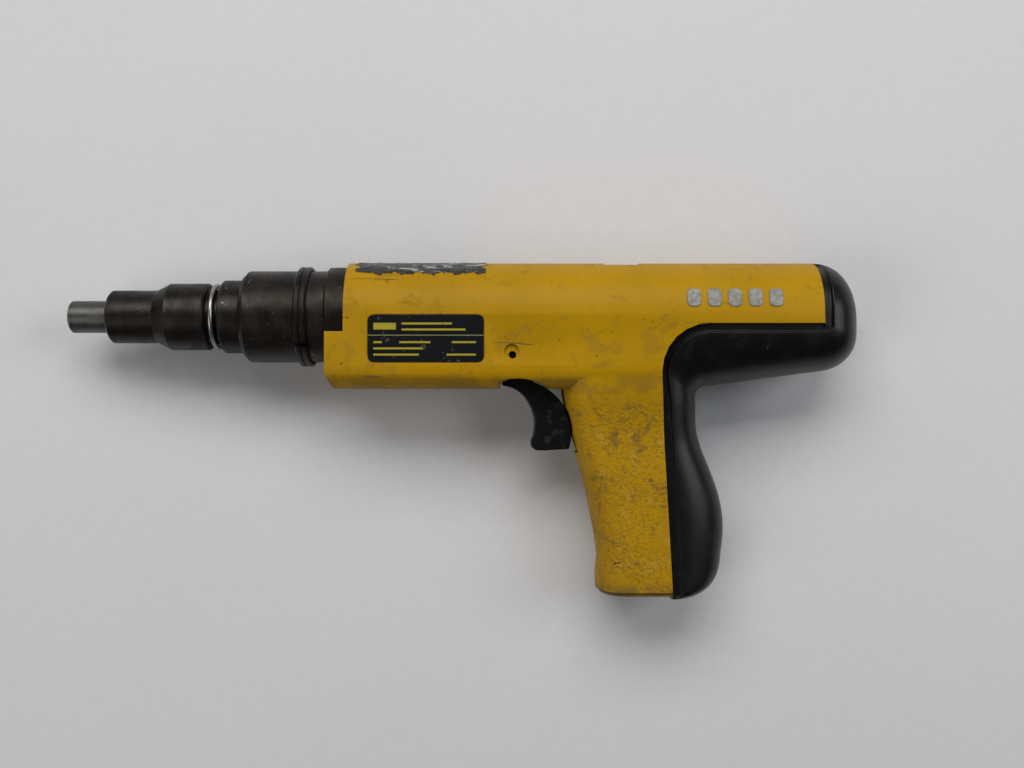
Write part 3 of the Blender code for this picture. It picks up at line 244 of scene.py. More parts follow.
def yellow_finish():
    """Moulded yellow plastic: leather grain on the handle, scuffs, specks and grime from the site, and painted
    shade along the body's underside.
    """
    f = Finish("yellow_plastic")
    belly_low, belly_high = ORIGIN[1] - 0.0335, ORIGIN[1] - 0.0262
    foot_y = ORIGIN[1] - HANDLE_DROP
    on_handle = f.y.under(ORIGIN[1] - 0.036, 0.014)
    broad = f.noise(28, 2).over(0.5, 0.5)
    colour = f.mix(rgb(0.50, 0.272, 0.0005), rgb(0.43, 0.232, 0.0005), broad)
    rubbed = f.noise(95, 5, 0.65, 0.6).over(0.60, 0.16) * on_handle
    colour = f.mix(colour, rgb(0.58, 0.39, 0.06), rubbed * 0.35)
    mottle = f.noise(420, 4, 0.7).over(0.56, 0.2)
    colour = f.mix(colour, rgb(0.36, 0.195, 0.012), mottle * (0.16 + 0.26 * on_handle))
    grime = f.noise(62, 6, 0.72, 1.1).over(0.585, 0.09)
    colour = f.mix(colour, rgb(0.15, 0.095, 0.025), grime * (0.24 + 0.42 * on_handle))
    in_grain = f.noise(850, 3, 0.6).over(0.54, 0.14) * f.noise(48, 4, 0.6).over(0.46, 0.25) * on_handle
    colour = f.mix(colour, rgb(0.14, 0.09, 0.02), in_grain * 0.45)
    specks = f.noise(430, 3, 0.6, 0.5).over(0.700, 0.03) * f.noise(60, 2).over(0.45, 0.2)
    colour = f.mix(colour, rgb(0.04, 0.03, 0.018), specks * 0.9)
    along = f.noise(90, 4, 0.6, 0.4, stretch=(0.25, 3.2, 1.0)).over(0.690, 0.025)
    colour = f.mix(colour, rgb(0.12, 0.08, 0.025), along * 0.7)
    nicks = f.noise(75, 5, 0.7, 2.2, stretch=(0.6, 1.8, 1.0)).over(0.685, 0.02)
    colour = f.mix(colour, rgb(0.03, 0.024, 0.016), nicks * 0.8)
    # Painted shade: a darker band, broken up by noise, along the body's underside where it turns in above the
    # handle.
    underside_shade = f.y.within(belly_low, belly_high, 0.0025) * f.noise(75, 4, 0.65, 0.6).over(0.47, 0.2)
    colour = f.mix(colour, rgb(0.22, 0.13, 0.02), underside_shade * 0.5)
    foot = f.y.under(foot_y + 0.0042, 0.006) * f.noise(150, 4, 0.7).over(0.43, 0.3)
    colour = f.mix(colour, rgb(0.13, 0.09, 0.03), foot * 0.75)
    foot_line = f.y.within(foot_y + 0.0010, foot_y + 0.0018, 0.0004)
    colour = f.mix(colour, rgb(0.05, 0.035, 0.012), foot_line * 0.8)
    grain = f.cells(1050) * on_handle
    fine = f.noise(1500, 2, 0.5)
    relief = f.bump(fine, 0.00006, 0.35)
    relief = f.bump(grain, 0.00035, 0.75, relief)
    relief = f.bump(1 - along, 0.00012, 0.6, relief)
    roughness = 0.40 + 0.14 * f.noise(240, 3) + 0.10 * on_handle + 0.18 * grime
    return f.set(Base_Color=colour, Roughness=roughness, Normal=relief, Specular_IOR_Level=0.15)


def rubber_finish():
    """Satin black rubber, dusty where hands don't rub it."""
    f = Finish("pad_rubber")
    dust = f.noise(120, 5, 0.65, 0.5).over(0.58, 0.24)
    colour = f.mix(rgb(0.0030, 0.0031, 0.0029), rgb(0.0065, 0.0066, 0.0060), dust)
    scuff = f.noise(80, 5, 0.7, 1.2, stretch=(2.6, 0.5, 1.0)).over(0.68, 0.06)
    colour = f.mix(colour, rgb(0.055, 0.055, 0.052), scuff * 0.5)
    relief = f.bump(f.noise(1900, 2, 0.6), 0.00005, 0.5)
    relief = f.bump(f.noise(260, 3, 0.5), 0.00012, 0.3, relief)
    roughness = 0.33 + 0.07 * dust + 0.1 * scuff
    return f.set(Base_Color=colour, Roughness=roughness, Normal=relief, Specular_IOR_Level=0.34)


def trigger_finish():
    """Black plastic, rubbed a little paler in spots by the finger."""
    f = Finish("trigger_plastic")
    wear = f.noise(300, 4, 0.6).over(0.60, 0.1)
    colour = f.mix(rgb(0.004, 0.004, 0.0042), rgb(0.018, 0.018, 0.018), wear * 0.6)
    relief = f.bump(f.noise(1400, 2, 0.5), 0.00004, 0.4)
    return f.set(Base_Color=colour, Roughness=0.30 + 0.14 * wear, Normal=relief, Specular_IOR_Level=0.34)


def turned_steel(name, dark, light, bright, bare_end=0.0):
    """Turned steel with black oxide: fine rings round the axis, rubbed streaks, and bright nicks.

    In front of bare_end, along X, the oxide is worn to grey steel."""
    f = Finish(name)
    rings = f.noise(300, 3, 0.6, 0.0, stretch=(7.0, 0.12, 0.12))
    streak = f.noise(130, 5, 0.6, 0.3, stretch=(1.0, 0.35, 0.35)).over(0.56, 0.22)
    patch = f.noise(60, 4, 0.65, 0.9).over(0.55, 0.20)
    nicks = f.noise(420, 3, 0.6, 0.8).over(0.70, 0.04)
    colour = f.mix(dark, light, rings * 0.6 + streak * 0.4)
    colour = f.mix(colour, rgb(0.030, 0.020, 0.014), patch * 0.45)
    colour = f.mix(colour, bright, nicks * 0.65)
    if bare_end:
        bare = f.x.under(ORIGIN[0] + bare_end, 0.0012)
        steel = f.mix(rgb(0.05, 0.05, 0.048), rgb(0.17, 0.168, 0.16), rings)
        colour = f.mix(colour, steel, bare * 0.9)
    relief = f.bump(rings, 0.00006, 0.5)
    relief = f.bump(f.noise(700, 3, 0.6), 0.00005, 0.35, relief)
    roughness = 0.30 + 0.14 * rings + 0.16 * patch
    return f.set(Base_Color=colour, Roughness=roughness, Metallic=0.78, Normal=relief)


def ground_steel():
    """Ground or drawn bright steel, for the inner pieces."""
    f = Finish("ground_steel")
    lines = f.noise(260, 3, 0.6, 0.0, stretch=(6.0, 0.3, 0.3))
    oil = f.noise(90, 4, 0.6, 0.6).over(0.57, 0.2)
    colour = f.mix(rgb(0.46, 0.455, 0.44), rgb(0.30, 0.29, 0.27), lines)
    colour = f.mix(colour, rgb(0.12, 0.09, 0.06), oil * 0.4)
    relief = f.bump(lines, 0.00004, 0.4)
    return f.set(Base_Color=colour, Roughness=0.26 + 0.16 * lines, Metallic=1.0, Normal=relief)


def buffer_finish():
    """Dark brown rubber, for the ring that stops the piston."""
    f = Finish("buffer_rubber")
    worn = f.noise(300, 4, 0.6).over(0.55, 0.2)
    colour = f.mix(rgb(0.03, 0.022, 0.016), rgb(0.06, 0.048, 0.036), worn)
    return f.set(Base_Color=colour, Roughness=0.6 + 0.15 * worn, Normal=f.bump(worn, 0.0001, 0.4))


def bars(f, rows, left, low):
    """Where plain bars lie: each row is (height, half thickness, then pairs of start and end along X)."""
    found = None
    for height, half, *ends in rows:
        row = f.y.within(low + height - half, low + height + half, 0.00016)
        for start, end in zip(ends[::2], ends[1::2]):
            bar = row * f.x.within(left + start, left + end, 0.00022)
            found = bar if found is None else found + bar
    return found


def nameplate_finish():
    """A black plate with a thin yellow rule and rows of plain bars in place of its text."""
    f = Finish("nameplate_film")
    low, left = plate_low.y, plate_low.x
    rows = [
        (0.0150, 0.0014, 0.0024, 0.0118),
        (0.0161, 0.00042, 0.0142, 0.0352),
        (0.0136, 0.00042, 0.0142, 0.0408),
        (0.0083, 0.00040, 0.0024, 0.0060, 0.0132, 0.0262, 0.0352, 0.0452),
        (0.0057, 0.00040, 0.0024, 0.0232),
        (0.0031, 0.00040, 0.0024, 0.0214, 0.0330, 0.0452),
    ]
    marks = bars(f, rows, left, low)
    rule = f.y.within(low + 0.01105, low + 0.01140, 0.00016)
    worn = f.noise(330, 4, 0.65, 0.4).over(0.66, 0.06)
    scratch = f.noise(170, 4, 0.6, 0.8, stretch=(0.4, 2.6, 1.0)).over(0.71, 0.03)
    ink = marks * (1 - worn)
    colour = f.mix(rgb(0.007, 0.0075, 0.009), rgb(0.46, 0.38, 0.035), ink * 0.9)
    colour = f.mix(colour, rgb(0.34, 0.31, 0.13), rule * 0.8)
    colour = f.mix(colour, rgb(0.16, 0.155, 0.15), worn * 0.35 + scratch * 0.4)
    return f.set(Base_Color=colour, Roughness=0.24 + 0.3 * worn, Normal=f.bump(scratch, 0.00003, 0.4))


def film_finish():
    """The label over the top of the body, rubbed through to pale film and torn at its edges."""
    f = Finish("top_label_film")
    rubbed = f.noise(150, 6, 0.7, 1.2, stretch=(0.7, 1.6, 1.6)).over(0.545, 0.05)
    creases = f.noise(120, 5, 0.65, 1.6, stretch=(0.45, 2.6, 1.6)).over(0.605, 0.03)
    colour = f.mix(rgb(0.007, 0.007, 0.008), rgb(0.06, 0.057, 0.05), rubbed)
    colour = f.mix(colour, rgb(0.52, 0.50, 0.46), creases * 0.85)
    relief = f.bump(creases + rubbed * 0.4, 0.0002, 0.7)
    return f.set(Base_Color=colour, Roughness=0.30 + 0.3 * rubbed, Normal=relief)


def silver_finish():
    """Hot-foiled silver on the raised marks, rubbed grey in places."""
    f = Finish("silver_foil")
    dull = f.noise(500, 4, 0.6).over(0.52, 0.2)
    colour = f.mix(rgb(0.27, 0.26, 0.24), rgb(0.22, 0.21, 0.185), dull)
    relief = f.bump(dull, 0.00005, 0.5)
    return f.set(Base_Color=colour, Roughness=0.42 + 0.18 * dull, Metallic=0.15, Normal=relief)


def floor_finish():
    """A pale painted surface, a little uneven."""
    f = Finish("floor_paint")
    cloud = f.noise(5.5, 3, 0.55)
    speck = f.noise(180, 3, 0.6).over(0.5, 0.6)
    colour = f.mix(rgb(0.70, 0.70, 0.71), rgb(0.77, 0.765, 0.77), cloud * 0.7 + speck * 0.3)
    return f.set(Base_Color=colour, Roughness=0.62, Normal=f.bump(speck, 0.0002, 0.25))


# ---------------------------------------------------------------- surfaces


def solid_of(name, grid, round_the_rows=True, caps=True):
    """A closed mesh from a grid of points: rows along the piece, each row going once round it."""
    rows, columns = grid.shape[:2]
    across = columns if round_the_rows else columns - 1
    row, column = np.meshgrid(np.arange(rows - 1), np.arange(across), indexing="ij")
    first = row * columns + column
    second = row * columns + (column + 1) % columns
    quads = np.stack([first, second, second + columns, first + columns], -1).reshape(-1, 4)
    faces = quads.tolist()
    if caps:
        for start in (0, (rows - 1) * columns):
            faces += [[start + i for i in rung] for rung in ladder(columns)]
    mesh = bpy.data.meshes.new(name)
    mesh.from_pydata((grid.reshape(-1, 3) + ORIGIN).tolist(), [], faces)
    return tidied(name, mesh)


def ladder(count):
    """The faces of a cap: rungs between the two sides of a ring, which meet at its first and last points."""
    for i in range((count - 1) // 2):
        yield list(dict.fromkeys((i, i + 1, count - 2 - i, count - 1 - i)))


def tidied(name, mesh):
    """The mesh with its doubles merged and its faces outwards, as a smooth-shaded object."""
    shape = bmesh.new()
    shape.from_mesh(mesh)
    bmesh.ops.remove_doubles(shape, verts=shape.verts, dist=1e-7)
    bmesh.ops.recalc_face_normals(shape, faces=shape.faces)
    shape.to_mesh(mesh)
    shape.free()
    mesh.shade_smooth()
    piece = bpy.data.objects.new(name, mesh)
    bpy.context.scene.collection.objects.link(piece)
    return piece


def softened(outline, radius, steps=5, hold=0.25):
    """A closed outline with its corners rounded.

    A corner is the curve (1 - t)^2 start + 2 t (1 - t) corner + t^2 end. A point on each side of it, a share
    of the rounding away, keeps the flats flat when shaded. A corner that hardly turns stays as it is."""
    points = np.array(outline, float)
    count = len(points)
    found = []
    for i in range(count):
        corner, before, after = points[i], points[i - 1], points[(i + 1) % count]
        back, ahead = before - corner, after - corner
        reach_back, reach_ahead = np.linalg.norm(back), np.linalg.norm(ahead)
        back, ahead = back / reach_back, ahead / reach_ahead
        half = math.acos(np.clip(back @ ahead, -1, 1)) / 2
        if half > math.radians(80):
            found.append(corner)
            continue
        trim = min(radius / math.tan(half), 0.42 * min(reach_back, reach_ahead))
        start, end = corner + back * trim, corner + ahead * trim
        t = np.linspace(0, 1, steps)[:, None]
        bend = (1 - t) ** 2 * start + 2 * t * (1 - t) * corner + t**2 * end
        rest_back, rest_ahead = reach_back / 2 - trim, reach_ahead / 2 - trim
        before_bend = start + back * min(hold * trim, rest_back)
        after_bend = end + ahead * min(hold * trim, rest_ahead)
        found += [before_bend, *bend, after_bend]
    return np.array(found)


def turned(name, outer, bore, rounding=0.00035, sides=128):
    """A ring or tube turned about the barrel's axis: radius as a function of distance along it."""
    profile = softened(list(outer) + list(bore)[::-1], rounding)
    angle = np.linspace(0, 2 * np.pi, sides, endpoint=False)
    along = np.repeat(profile[:, :1], sides, 1)
    up = profile[:, 1:] * np.cos(angle)
    out = profile[:, 1:] * np.sin(angle)
    grid = np.stack([along, up, out], -1)
    return solid_of(name, np.concatenate([grid, grid[:1]]), caps=False)


def slab(name, outline, low, high, rounding, bend=None):
    """A flat piece whose outline shrinks by a quarter round at both faces.

    A bend is a function of the points, which carries them to a curved place."""
    points = np.array(outline, float)
    step = np.roll(points, -1, 0) - np.roll(points, 1, 0)
    inward = np.stack([-step[:, 1], step[:, 0]], 1) / np.linalg.norm(step, axis=1)[:, None]
    area = np.sum(points[:, 0] * np.roll(points[:, 1], -1) - points[:, 1] * np.roll(points[:, 0], -1))
    inward = inward * np.sign(area)
    turn = np.linspace(0, np.pi / 2, 6)
    inset = rounding * (1 - np.sin(turn))
    lift = rounding * (1 - np.cos(turn))
    flat_rim = rounding + 0.00012
    lower = [(flat_rim, low), *zip(inset, low + lift)]
    upper = [*zip(inset[::-1], high - lift[::-1]), (flat_rim, high)]
    rows = []
    for inset_by, height in lower + upper:
        flat = points + inward * inset_by
        rows.append(np.column_stack([flat, np.full(len(flat), height)]))
    grid = np.array(rows)
    return solid_of(name, bend(grid) if bend else grid)


def arc(centre, radius, start, end, count):
    """Points on an arc, by angle in degrees."""
    angle = np.radians(np.linspace(start, end, count))
    return np.column_stack([centre[0] + radius * np.cos(angle), centre[1] + radius * np.sin(angle)])


def eased(stations, t):
    """The smooth curve through stations (t, height), read at many t at once: a cubic between each two."""
    places, heights = np.array(stations, float).T
    slopes = np.gradient(heights, places)
    i = np.clip(np.searchsorted(places, t) - 1, 0, len(places) - 2)
    span = places[i + 1] - places[i]
    u = (t - places[i]) / span
    ease = u * u * (3 - 2 * u)
    lean = u * (1 - u) ** 2 * slopes[i] * span + u * u * (u - 1) * slopes[i + 1] * span
    return heights[i] * (1 - ease) + heights[i + 1] * ease + lean


def cylinder_round_axis(name, low, high, radius, sides=96):
    """A plain cylinder round the barrel's axis, as a cutter."""
    angle = np.linspace(0, 2 * np.pi, sides, endpoint=False)
    ring = np.stack([np.zeros(sides), radius * np.cos(angle), radius * np.sin(angle)], -1)
    return solid_of(name, np.stack([ring + (low, 0, 0), ring + (high, 0, 0)]))


def brick(name, x_range, y_range, z_range):
    """A box, as a cutter: a square row at each end."""
    corners = [(y, z) for y, z in zip((*y_range, *y_range[::-1]), np.repeat(z_range, 2))]
    rows = [[(x, y, z) for y, z in corners] for x in x_range]
    return solid_of(name, np.array(rows, float))


def carve(piece, *cutters):
    """Cuts closed solids from a piece, and bakes the result into its mesh."""
    for cutter in cutters:
        modifier = piece.modifiers.new(cutter.name, "BOOLEAN")
        modifier.operation = "DIFFERENCE"
        modifier.object = cutter
    settle(piece)
    for cutter in cutters:
        bpy.data.objects.remove(cutter, do_unlink=True)
    return piece


def settle(piece):
    """Bakes a piece's modifiers into its mesh."""
    bpy.context.view_layer.update()
    graph = bpy.context.evaluated_depsgraph_get()
    mesh = bpy.data.meshes.new_from_object(piece.evaluated_get(graph))
    piece.modifiers.clear()
    piece.data = mesh
    return piece


def sharp_over(piece, degrees):
    """Smooth shading, with hard edges where faces meet at more than an angle."""
    piece.data.set_sharp_from_angle(angle=math.radians(degrees))
    return piece


def fitted(piece, material, body, slot_name, *nodes):
    """Gives a piece its finish and its body, and hides the nodes that it stands for. The slot name is not used."""
    piece.data.materials.clear()
    piece.data.materials.append(material)
    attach(piece, body)
    if nodes:
        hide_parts(*nodes)
    return piece


# ---------------------------------------------------------------- the pad


def handle_back(y):
    """X of the line where the pad meets the handle."""
    top = SADDLE_RADIUS - PAD_LINE_Y
    share = np.clip((-y - top) / (HANDLE_DROP - top), 0, None)
    return SADDLE_X - SADDLE_RADIUS + 0.0055 * share


def pad_path():
    """Rows of inner x, inner y, outer x, outer y and half width, from the body's top to the handle's base.

    Over the back of the body the outer line is a superellipse quarter. Under the body it is a straight
    line down to the hand's web, and down the handle a smooth curve through stations of its thickness."""
    half = BODY_RADIUS - PAD_INSET
    gap = 0.00035
    back, edge_y, drop = BODY_REAR + gap, PAD_LINE_Y - 0.0003, 0.0037
    angle = np.radians(np.linspace(88.5, 1, 46))
    reach_x = BODY_REAR + CAP_DEPTH * np.cos(angle) ** 0.89
    reach_y = (BODY_RADIUS + drop) * np.sin(angle) ** 0.89 - drop
    cap = [np.full(46, back), half * np.sin(angle), reach_x, reach_y, half * np.cos(angle)]
    corner_x, corner_y, depth = BODY_REAR + 0.003, -0.0085, BODY_RADIUS + 0.0006
    angle = np.radians(np.linspace(0, 90, 26))
    reach_x = corner_x + (CAP_DEPTH - 0.003) * np.cos(angle)
    reach_y = corner_y - (depth + corner_y) * np.sin(angle)
    corner = [np.full(26, back), np.full(26, edge_y), reach_x, reach_y, np.full(26, half)]
    under_x, under_y = SADDLE_X + 0.0015, -depth - 0.0065
    share = np.linspace(0.03, 0.97, 26)
    reach_x = corner_x + (under_x - corner_x) * share
    reach_y = -depth + (under_y + depth) * share
    inner_x = BODY_REAR + (SADDLE_X - BODY_REAR) * share
    wing = [inner_x, np.full(26, edge_y), reach_x, reach_y, np.full(26, half)]
    inner = arc((SADDLE_X, PAD_LINE_Y - SADDLE_RADIUS), SADDLE_RADIUS - 0.0003, 90, 180, 30)
    outer = arc((under_x, under_y - 0.0045), 0.0045, 90, 180, 30)
    grip_half = HANDLE_HALF_WIDTH + PAD_INSET
    width = half + (grip_half - half) * np.linspace(0, 0.75, 30)
    saddle = [inner[:, 0], inner[:, 1], outer[:, 0], outer[:, 1], width]
    parts = (cap, corner, wing, saddle, *grip_path(grip_half, width[-1]))
    return np.concatenate([np.stack(part, 1) for part in parts])


def grip_path(half, start_half):
    """The pad's rows down the handle's back, and the rounding at its foot."""
    bulge = [(0.0, 0.0166), (0.14, 0.0160), (0.24, 0.0176), (0.36, 0.0212), (0.5, 0.0246)]
    bulge += [(0.62, 0.0257), (0.74, 0.0248), (0.86, 0.0222), (1.0, 0.0180)]
    top, turn_y = -0.037, -HANDLE_DROP + 0.016
    share = np.linspace(0.0, 0.80, 60)
    y = top + (-HANDLE_DROP - top) * share
    width = start_half + (half - start_half) * np.clip(share / 0.2, 0, 1)
    outer_x = handle_back(y) + eased(bulge, share)
    grip = [handle_back(y) + 0.0003, y, outer_x, y, width]
    foot_x = handle_back(-HANDLE_DROP)
    swing = outer_x[-1] - foot_x
    angle = np.radians(np.linspace(3, 89.5, 30))
    outer_x = foot_x + swing * np.cos(angle) ** 0.83
    outer_y = turn_y - (HANDLE_DROP + PAD_TOE + turn_y) * np.sin(angle) ** 0.83
    inner_y = y[-1] + (-HANDLE_DROP + 0.0006 - y[-1]) * np.clip(np.degrees(angle) / 36, 0, 1)
    foot = [handle_back(inner_y) + 0.0003, inner_y, outer_x, outer_y, np.full(30, half)]
    return grip, foot


def blurred(values, passes):
    """Each value averaged with its two neighbours, several times over, with the ends kept."""
    for _ in range(passes):
        middle = (values[:-2] + 2 * values[1:-1] + values[2:]) / 4
        values = np.concatenate([values[:1], middle, values[-1:]])
    return values


def pad_rows(path):
    """The pad's surface, and how far each of its points is from an edge, in lip widths.

    A row is a superellipse from flank to flank. Its points lie close together beside the lip's step."""
    turn = np.radians(np.linspace(-90, 90, 1441))
    reach = np.clip(np.cos(turn), 0, None) ** 0.87
    side = np.sign(turn) * np.abs(np.sin(turn)) ** 0.87
    soft = LIP_SOFTNESS / LIP_WIDTH / 2
    on_lip, on_step = np.linspace(0, 1 - 2 * soft, 7), np.linspace(1 - soft, 1 + soft, 7)
    near = np.concatenate([on_lip, on_step, [1 + 2 * soft]])
    rows, edges = [], []
    for inner_x, inner_y, outer_x, outer_y, half in path:
        x = inner_x + (outer_x - inner_x) * reach
        y = inner_y + (outer_y - inner_y) * reach
        points = np.column_stack([x, y, half * side])
        walked = np.concatenate([[0], np.cumsum(np.linalg.norm(np.diff(points, axis=0), axis=1))])
        unit = min(LIP_WIDTH, walked[-1] / 4)
        first = near * unit
        middle = np.linspace(first[-1], walked[-1] - first[-1], 64)[1:-1]
        places = np.concatenate([first, middle, walked[-1] - first[::-1]])
        rows.append(np.stack([np.interp(places, walked, points[:, i]) for i in range(3)], 1))
        edges.append(np.minimum(places, walked[-1] - places) / unit)
    return np.array(rows), np.array(edges)


def make_pad(rubber):
    """The rubber over the back: out from the housing's edge on one flank, over, and back on the other.

    Beside the housing it is sunk by the lip's depth, and the step up from it is 3 t^2 - 2 t^3."""
    path = pad_path()
    path[:, 2:4] = blurred(path[:, 2:4], 10)
    path[:, 4] = blurred(path[:, 4], 8)
    grid, edge = pad_rows(path)
    along, across = np.gradient(grid, axis=0), np.gradient(grid, axis=1)
    normal = np.cross(along, across)
    normal /= np.linalg.norm(normal, axis=2, keepdims=True) + 1e-12
    inner = np.column_stack([path[:, 0:2], np.zeros(len(path))])
    normal *= np.sign(np.sum(normal * (grid - inner[:, None])))
    step = np.clip((edge - 1) * LIP_WIDTH / LIP_SOFTNESS + 0.5, 0, 1)
    width = np.linalg.norm(grid[:, -1] - grid[:, 0], axis=1)
    size = width + np.linalg.norm(path[:, 2:4] - path[:, 0:2], axis=1)
    lip = np.clip(size / (5 * LIP_WIDTH), 0, 1)
    sunk = LIP_DEPTH * (1 - step * step * (3 - 2 * step)) * lip[:, None]
    grid = grid - normal * sunk[:, :, None]
    share = np.linspace(0, 1, 8)[None, 1:-1, None]
    closing = grid[:, -1:] + (grid[:, :1] - grid[:, -1:]) * share
    pad = solid_of("rubber_pad", np.concatenate([grid, closing], 1))
    room = BODY_RADIUS - 0.0027
    carve(pad, cylinder_round_axis("core_room", STRIP_X, BODY_REAR + 0.0003, room))
    sharp_over(pad, 50)
    return fitted(pad, rubber, "housing", "pad_rubber", "handle_pad")


# ---------------------------------------------------------------- the nose and the barrel group


def make_nose(tip_oxide, wire):
    """The muzzle in its turned steps, with the spigot that enters the barrel, and its ring spring."""
    shoulder, flare, spigot = 0.0116, BARREL_RADIUS - 0.0014, SPIGOT_RADIUS
    end = BARREL_FRONT - 0.006
    socket = BARREL_FRONT + 0.0076
    outer = [(0.0, 0.0065), (0.0005, 0.0070), (0.0176, 0.0070), (0.0176, shoulder - 0.0010)]
    outer += [(0.0186, shoulder), (end - 0.0235, shoulder), (end - 0.0230, shoulder), (end - 0.0170, flare)]
    outer += [(end - 0.0008, flare), (end, flare - 0.0008), (end, spigot), (BARREL_FRONT - 0.0006, spigot)]
    outer += [(BARREL_FRONT - 0.0006, spigot - 0.001), (socket, spigot - 0.001)]
    bore = [(0.0, NAIL_BORE_RADIUS), (socket, NAIL_BORE_RADIUS)]
    muzzle = turned("nose", outer, bore, 0.00025)
    fitted(muzzle, tip_oxide, "barrel_group", "black_oxide", "muzzle_bushing")
    centre = ((end + BARREL_FRONT) / 2, spigot + 0.0014)
    spring = turned("nose_ring_spring", arc(centre, 0.0011, 180, -180, 25)[:-1], [], 0.0)
    fitted(spring, wire, "barrel_group", "spring_steel", "annular_spring")


def make_barrel(oxide):
    """The barrel's tube: a socket for the nose, the rod's bore, and the piston's bore behind its shoulder."""
    shoulder = BARREL_FRONT + 0.0287
    rear, socket = RECEIVER_REAR - 0.0015, BARREL_FRONT + SOCKET_DEPTH
    outer = [(BARREL_FRONT, BARREL_RADIUS - 0.0008), (BARREL_FRONT + 0.0008, BARREL_RADIUS)]
    outer += [(rear - 0.0008, BARREL_RADIUS), (rear, BARREL_RADIUS - 0.0008)]
    bore = [(BARREL_FRONT, SOCKET_RADIUS), (socket, SOCKET_RADIUS), (socket, ROD_BORE_RADIUS)]
    bore += [(shoulder, ROD_BORE_RADIUS), (shoulder, PISTON_BORE_RADIUS), (rear, PISTON_BORE_RADIUS)]
    barrel = turned("barrel_tube", outer, bore, 0.0002)
    fitted(sharp_over(barrel, 40), oxide, "barrel_group", "black_oxide", "barrel")


def make_sleeve(oxide):
    """The muffler sleeve with its broad front chamfer, slotted below for the stop pin."""
    chamfer = 0.0022
    neck = BARREL_RADIUS + 0.0003
    front_wall = MUFFLER_FRONT + 0.0074
    outer = [(MUFFLER_FRONT, MUFFLER_RADIUS - chamfer), (MUFFLER_FRONT + chamfer, MUFFLER_RADIUS)]
    outer += [(MUFFLER_REAR, MUFFLER_RADIUS)]
    bore = [(MUFFLER_FRONT, neck), (front_wall, neck), (front_wall, MUFFLER_RADIUS - SLEEVE_WALL)]
    bore += [(MUFFLER_REAR, MUFFLER_RADIUS - SLEEVE_WALL)]
    sleeve = turned("sleeve", outer, bore, 0.0004)
    slot_x = (STOP_PIN_X - 0.0103, STOP_PIN_X + 0.0628)
    carve(sleeve, brick("stop_slot", slot_x, (-0.024, -0.015), (-0.0028, 0.0028)))
    sharp_over(sleeve, 40)
    fitted(sleeve, oxide, "barrel_group", "black_oxide", "muffler_sleeve")


def make_collar(oxide):
    """The split ring round the sleeve, with a groove in its outside and a narrow gap at one place."""
    seat = MUFFLER_RADIUS + 0.0003
    chamfer, groove = 0.0007, COLLAR_RADIUS - 0.0006
    low = COLLAR_RADIUS - chamfer
    groove_x = [COLLAR_FRONT + share * (COLLAR_REAR - COLLAR_FRONT) for share in (0.42, 0.47, 0.56, 0.61)]
    outer = [(COLLAR_FRONT, low), (COLLAR_FRONT + chamfer, COLLAR_RADIUS)]
    outer += zip(groove_x, (COLLAR_RADIUS, groove, groove, COLLAR_RADIUS))
    outer += [(COLLAR_REAR - 0.0006, COLLAR_RADIUS), (COLLAR_REAR, low)]
    collar = turned("sleeve_collar", outer, [(COLLAR_FRONT, seat), (COLLAR_REAR, seat)], 0.0002)
    gap_x = (COLLAR_FRONT - 0.001, COLLAR_REAR + 0.001)
    carve(collar, brick("collar_gap", gap_x, (-0.0135, -0.0115), (0.005, 0.04)))
    sharp_over(collar, 40)
    fitted(collar, oxide, "barrel_group", "black_oxide", "collar_ring")


def make_receiver(oxide):
    """The tube that stands out of the housing, with a window below for the stop pin."""
    outer = [(RECEIVER_FRONT, RECEIVER_RADIUS - 0.0007), (RECEIVER_FRONT + 0.0007, RECEIVER_RADIUS)]
    outer += [(RECEIVER_REAR, RECEIVER_RADIUS)]
    inside = RECEIVER_RADIUS - RECEIVER_WALL
    tube = turned("receiver", outer, [(RECEIVER_FRONT, inside), (RECEIVER_REAR, inside)], 0.0002)
    room = STOP_PIN_ROOM
    window_x = (STOP_PIN_X - room, STOP_PIN_X + room)
    carve(tube, brick("pin_window", window_x, (-0.030, -0.017), (-room, room)))
    sharp_over(tube, 40)
    fitted(tube, oxide, "housing", "black_oxide", "receiver_tube")


# ---------------------------------------------------------------- the trigger


def trigger_outline():
    """From the side: a tongue under the housing, the finger's curve, and a lip at the foot."""
    back = arc(TRIGGER_CENTRE, 0.0233, 107, -17, 60)
    front = [(0.0110, -0.0075), (0.0076, -0.0071), (0.0060, -0.0058), (0.0057, -0.0042), (0.0067, -0.0012)]
    front += [(0.0073, 0.0032), (0.0070, 0.0068), (0.0060, 0.0103), (0.0040, 0.0141), (0.0012, 0.0175)]
    front += [(-0.0021, 0.0195), (-0.0065, 0.0207)]
    points = np.array(front)
    walked = np.concatenate([[0], np.cumsum(np.linalg.norm(np.diff(points, axis=0), axis=1))])
    t = np.linspace(0, walked[-1], 90)
    smooth = np.stack([eased(list(zip(walked, points[:, i])), t) for i in range(2)], 1)
    return np.concatenate([back, smooth + TRIGGER_CENTRE[:2]])


def make_trigger(plastic):
    """The trigger's blade, and its pivot ear and lug inside the housing."""
    half = TRIGGER_HALF_WIDTH
    outline = softened(trigger_outline(), 0.0004, 3)
    blade = slab("trigger_blade", outline, -half, half, 0.0007)
    sharp_over(blade, 45)
    fitted(blade, plastic, "trigger", "black_plastic", "trigger")
    x, y = PIVOT[0], PIVOT[1]
    ring = slab("trigger_ear", arc((x, y), 0.0030, 0, 360, 49)[:-1], -half, half, 0.0003)
    fitted(ring, plastic, "trigger", "black_plastic")
    end = STRIP_X - 0.0095
    hook, low, top, hook_top = end - 0.0030, y - 0.0029, y - 0.0008, y + 0.0006
    corners = [(x, low), (end, low), (end, hook_top), (hook, hook_top), (hook, top), (x, top)]
    lug = slab("trigger_lug", softened(corners, 0.0003, 4), 0.0052, 0.0096, 0.0002)
    fitted(lug, plastic, "trigger", "black_plastic")


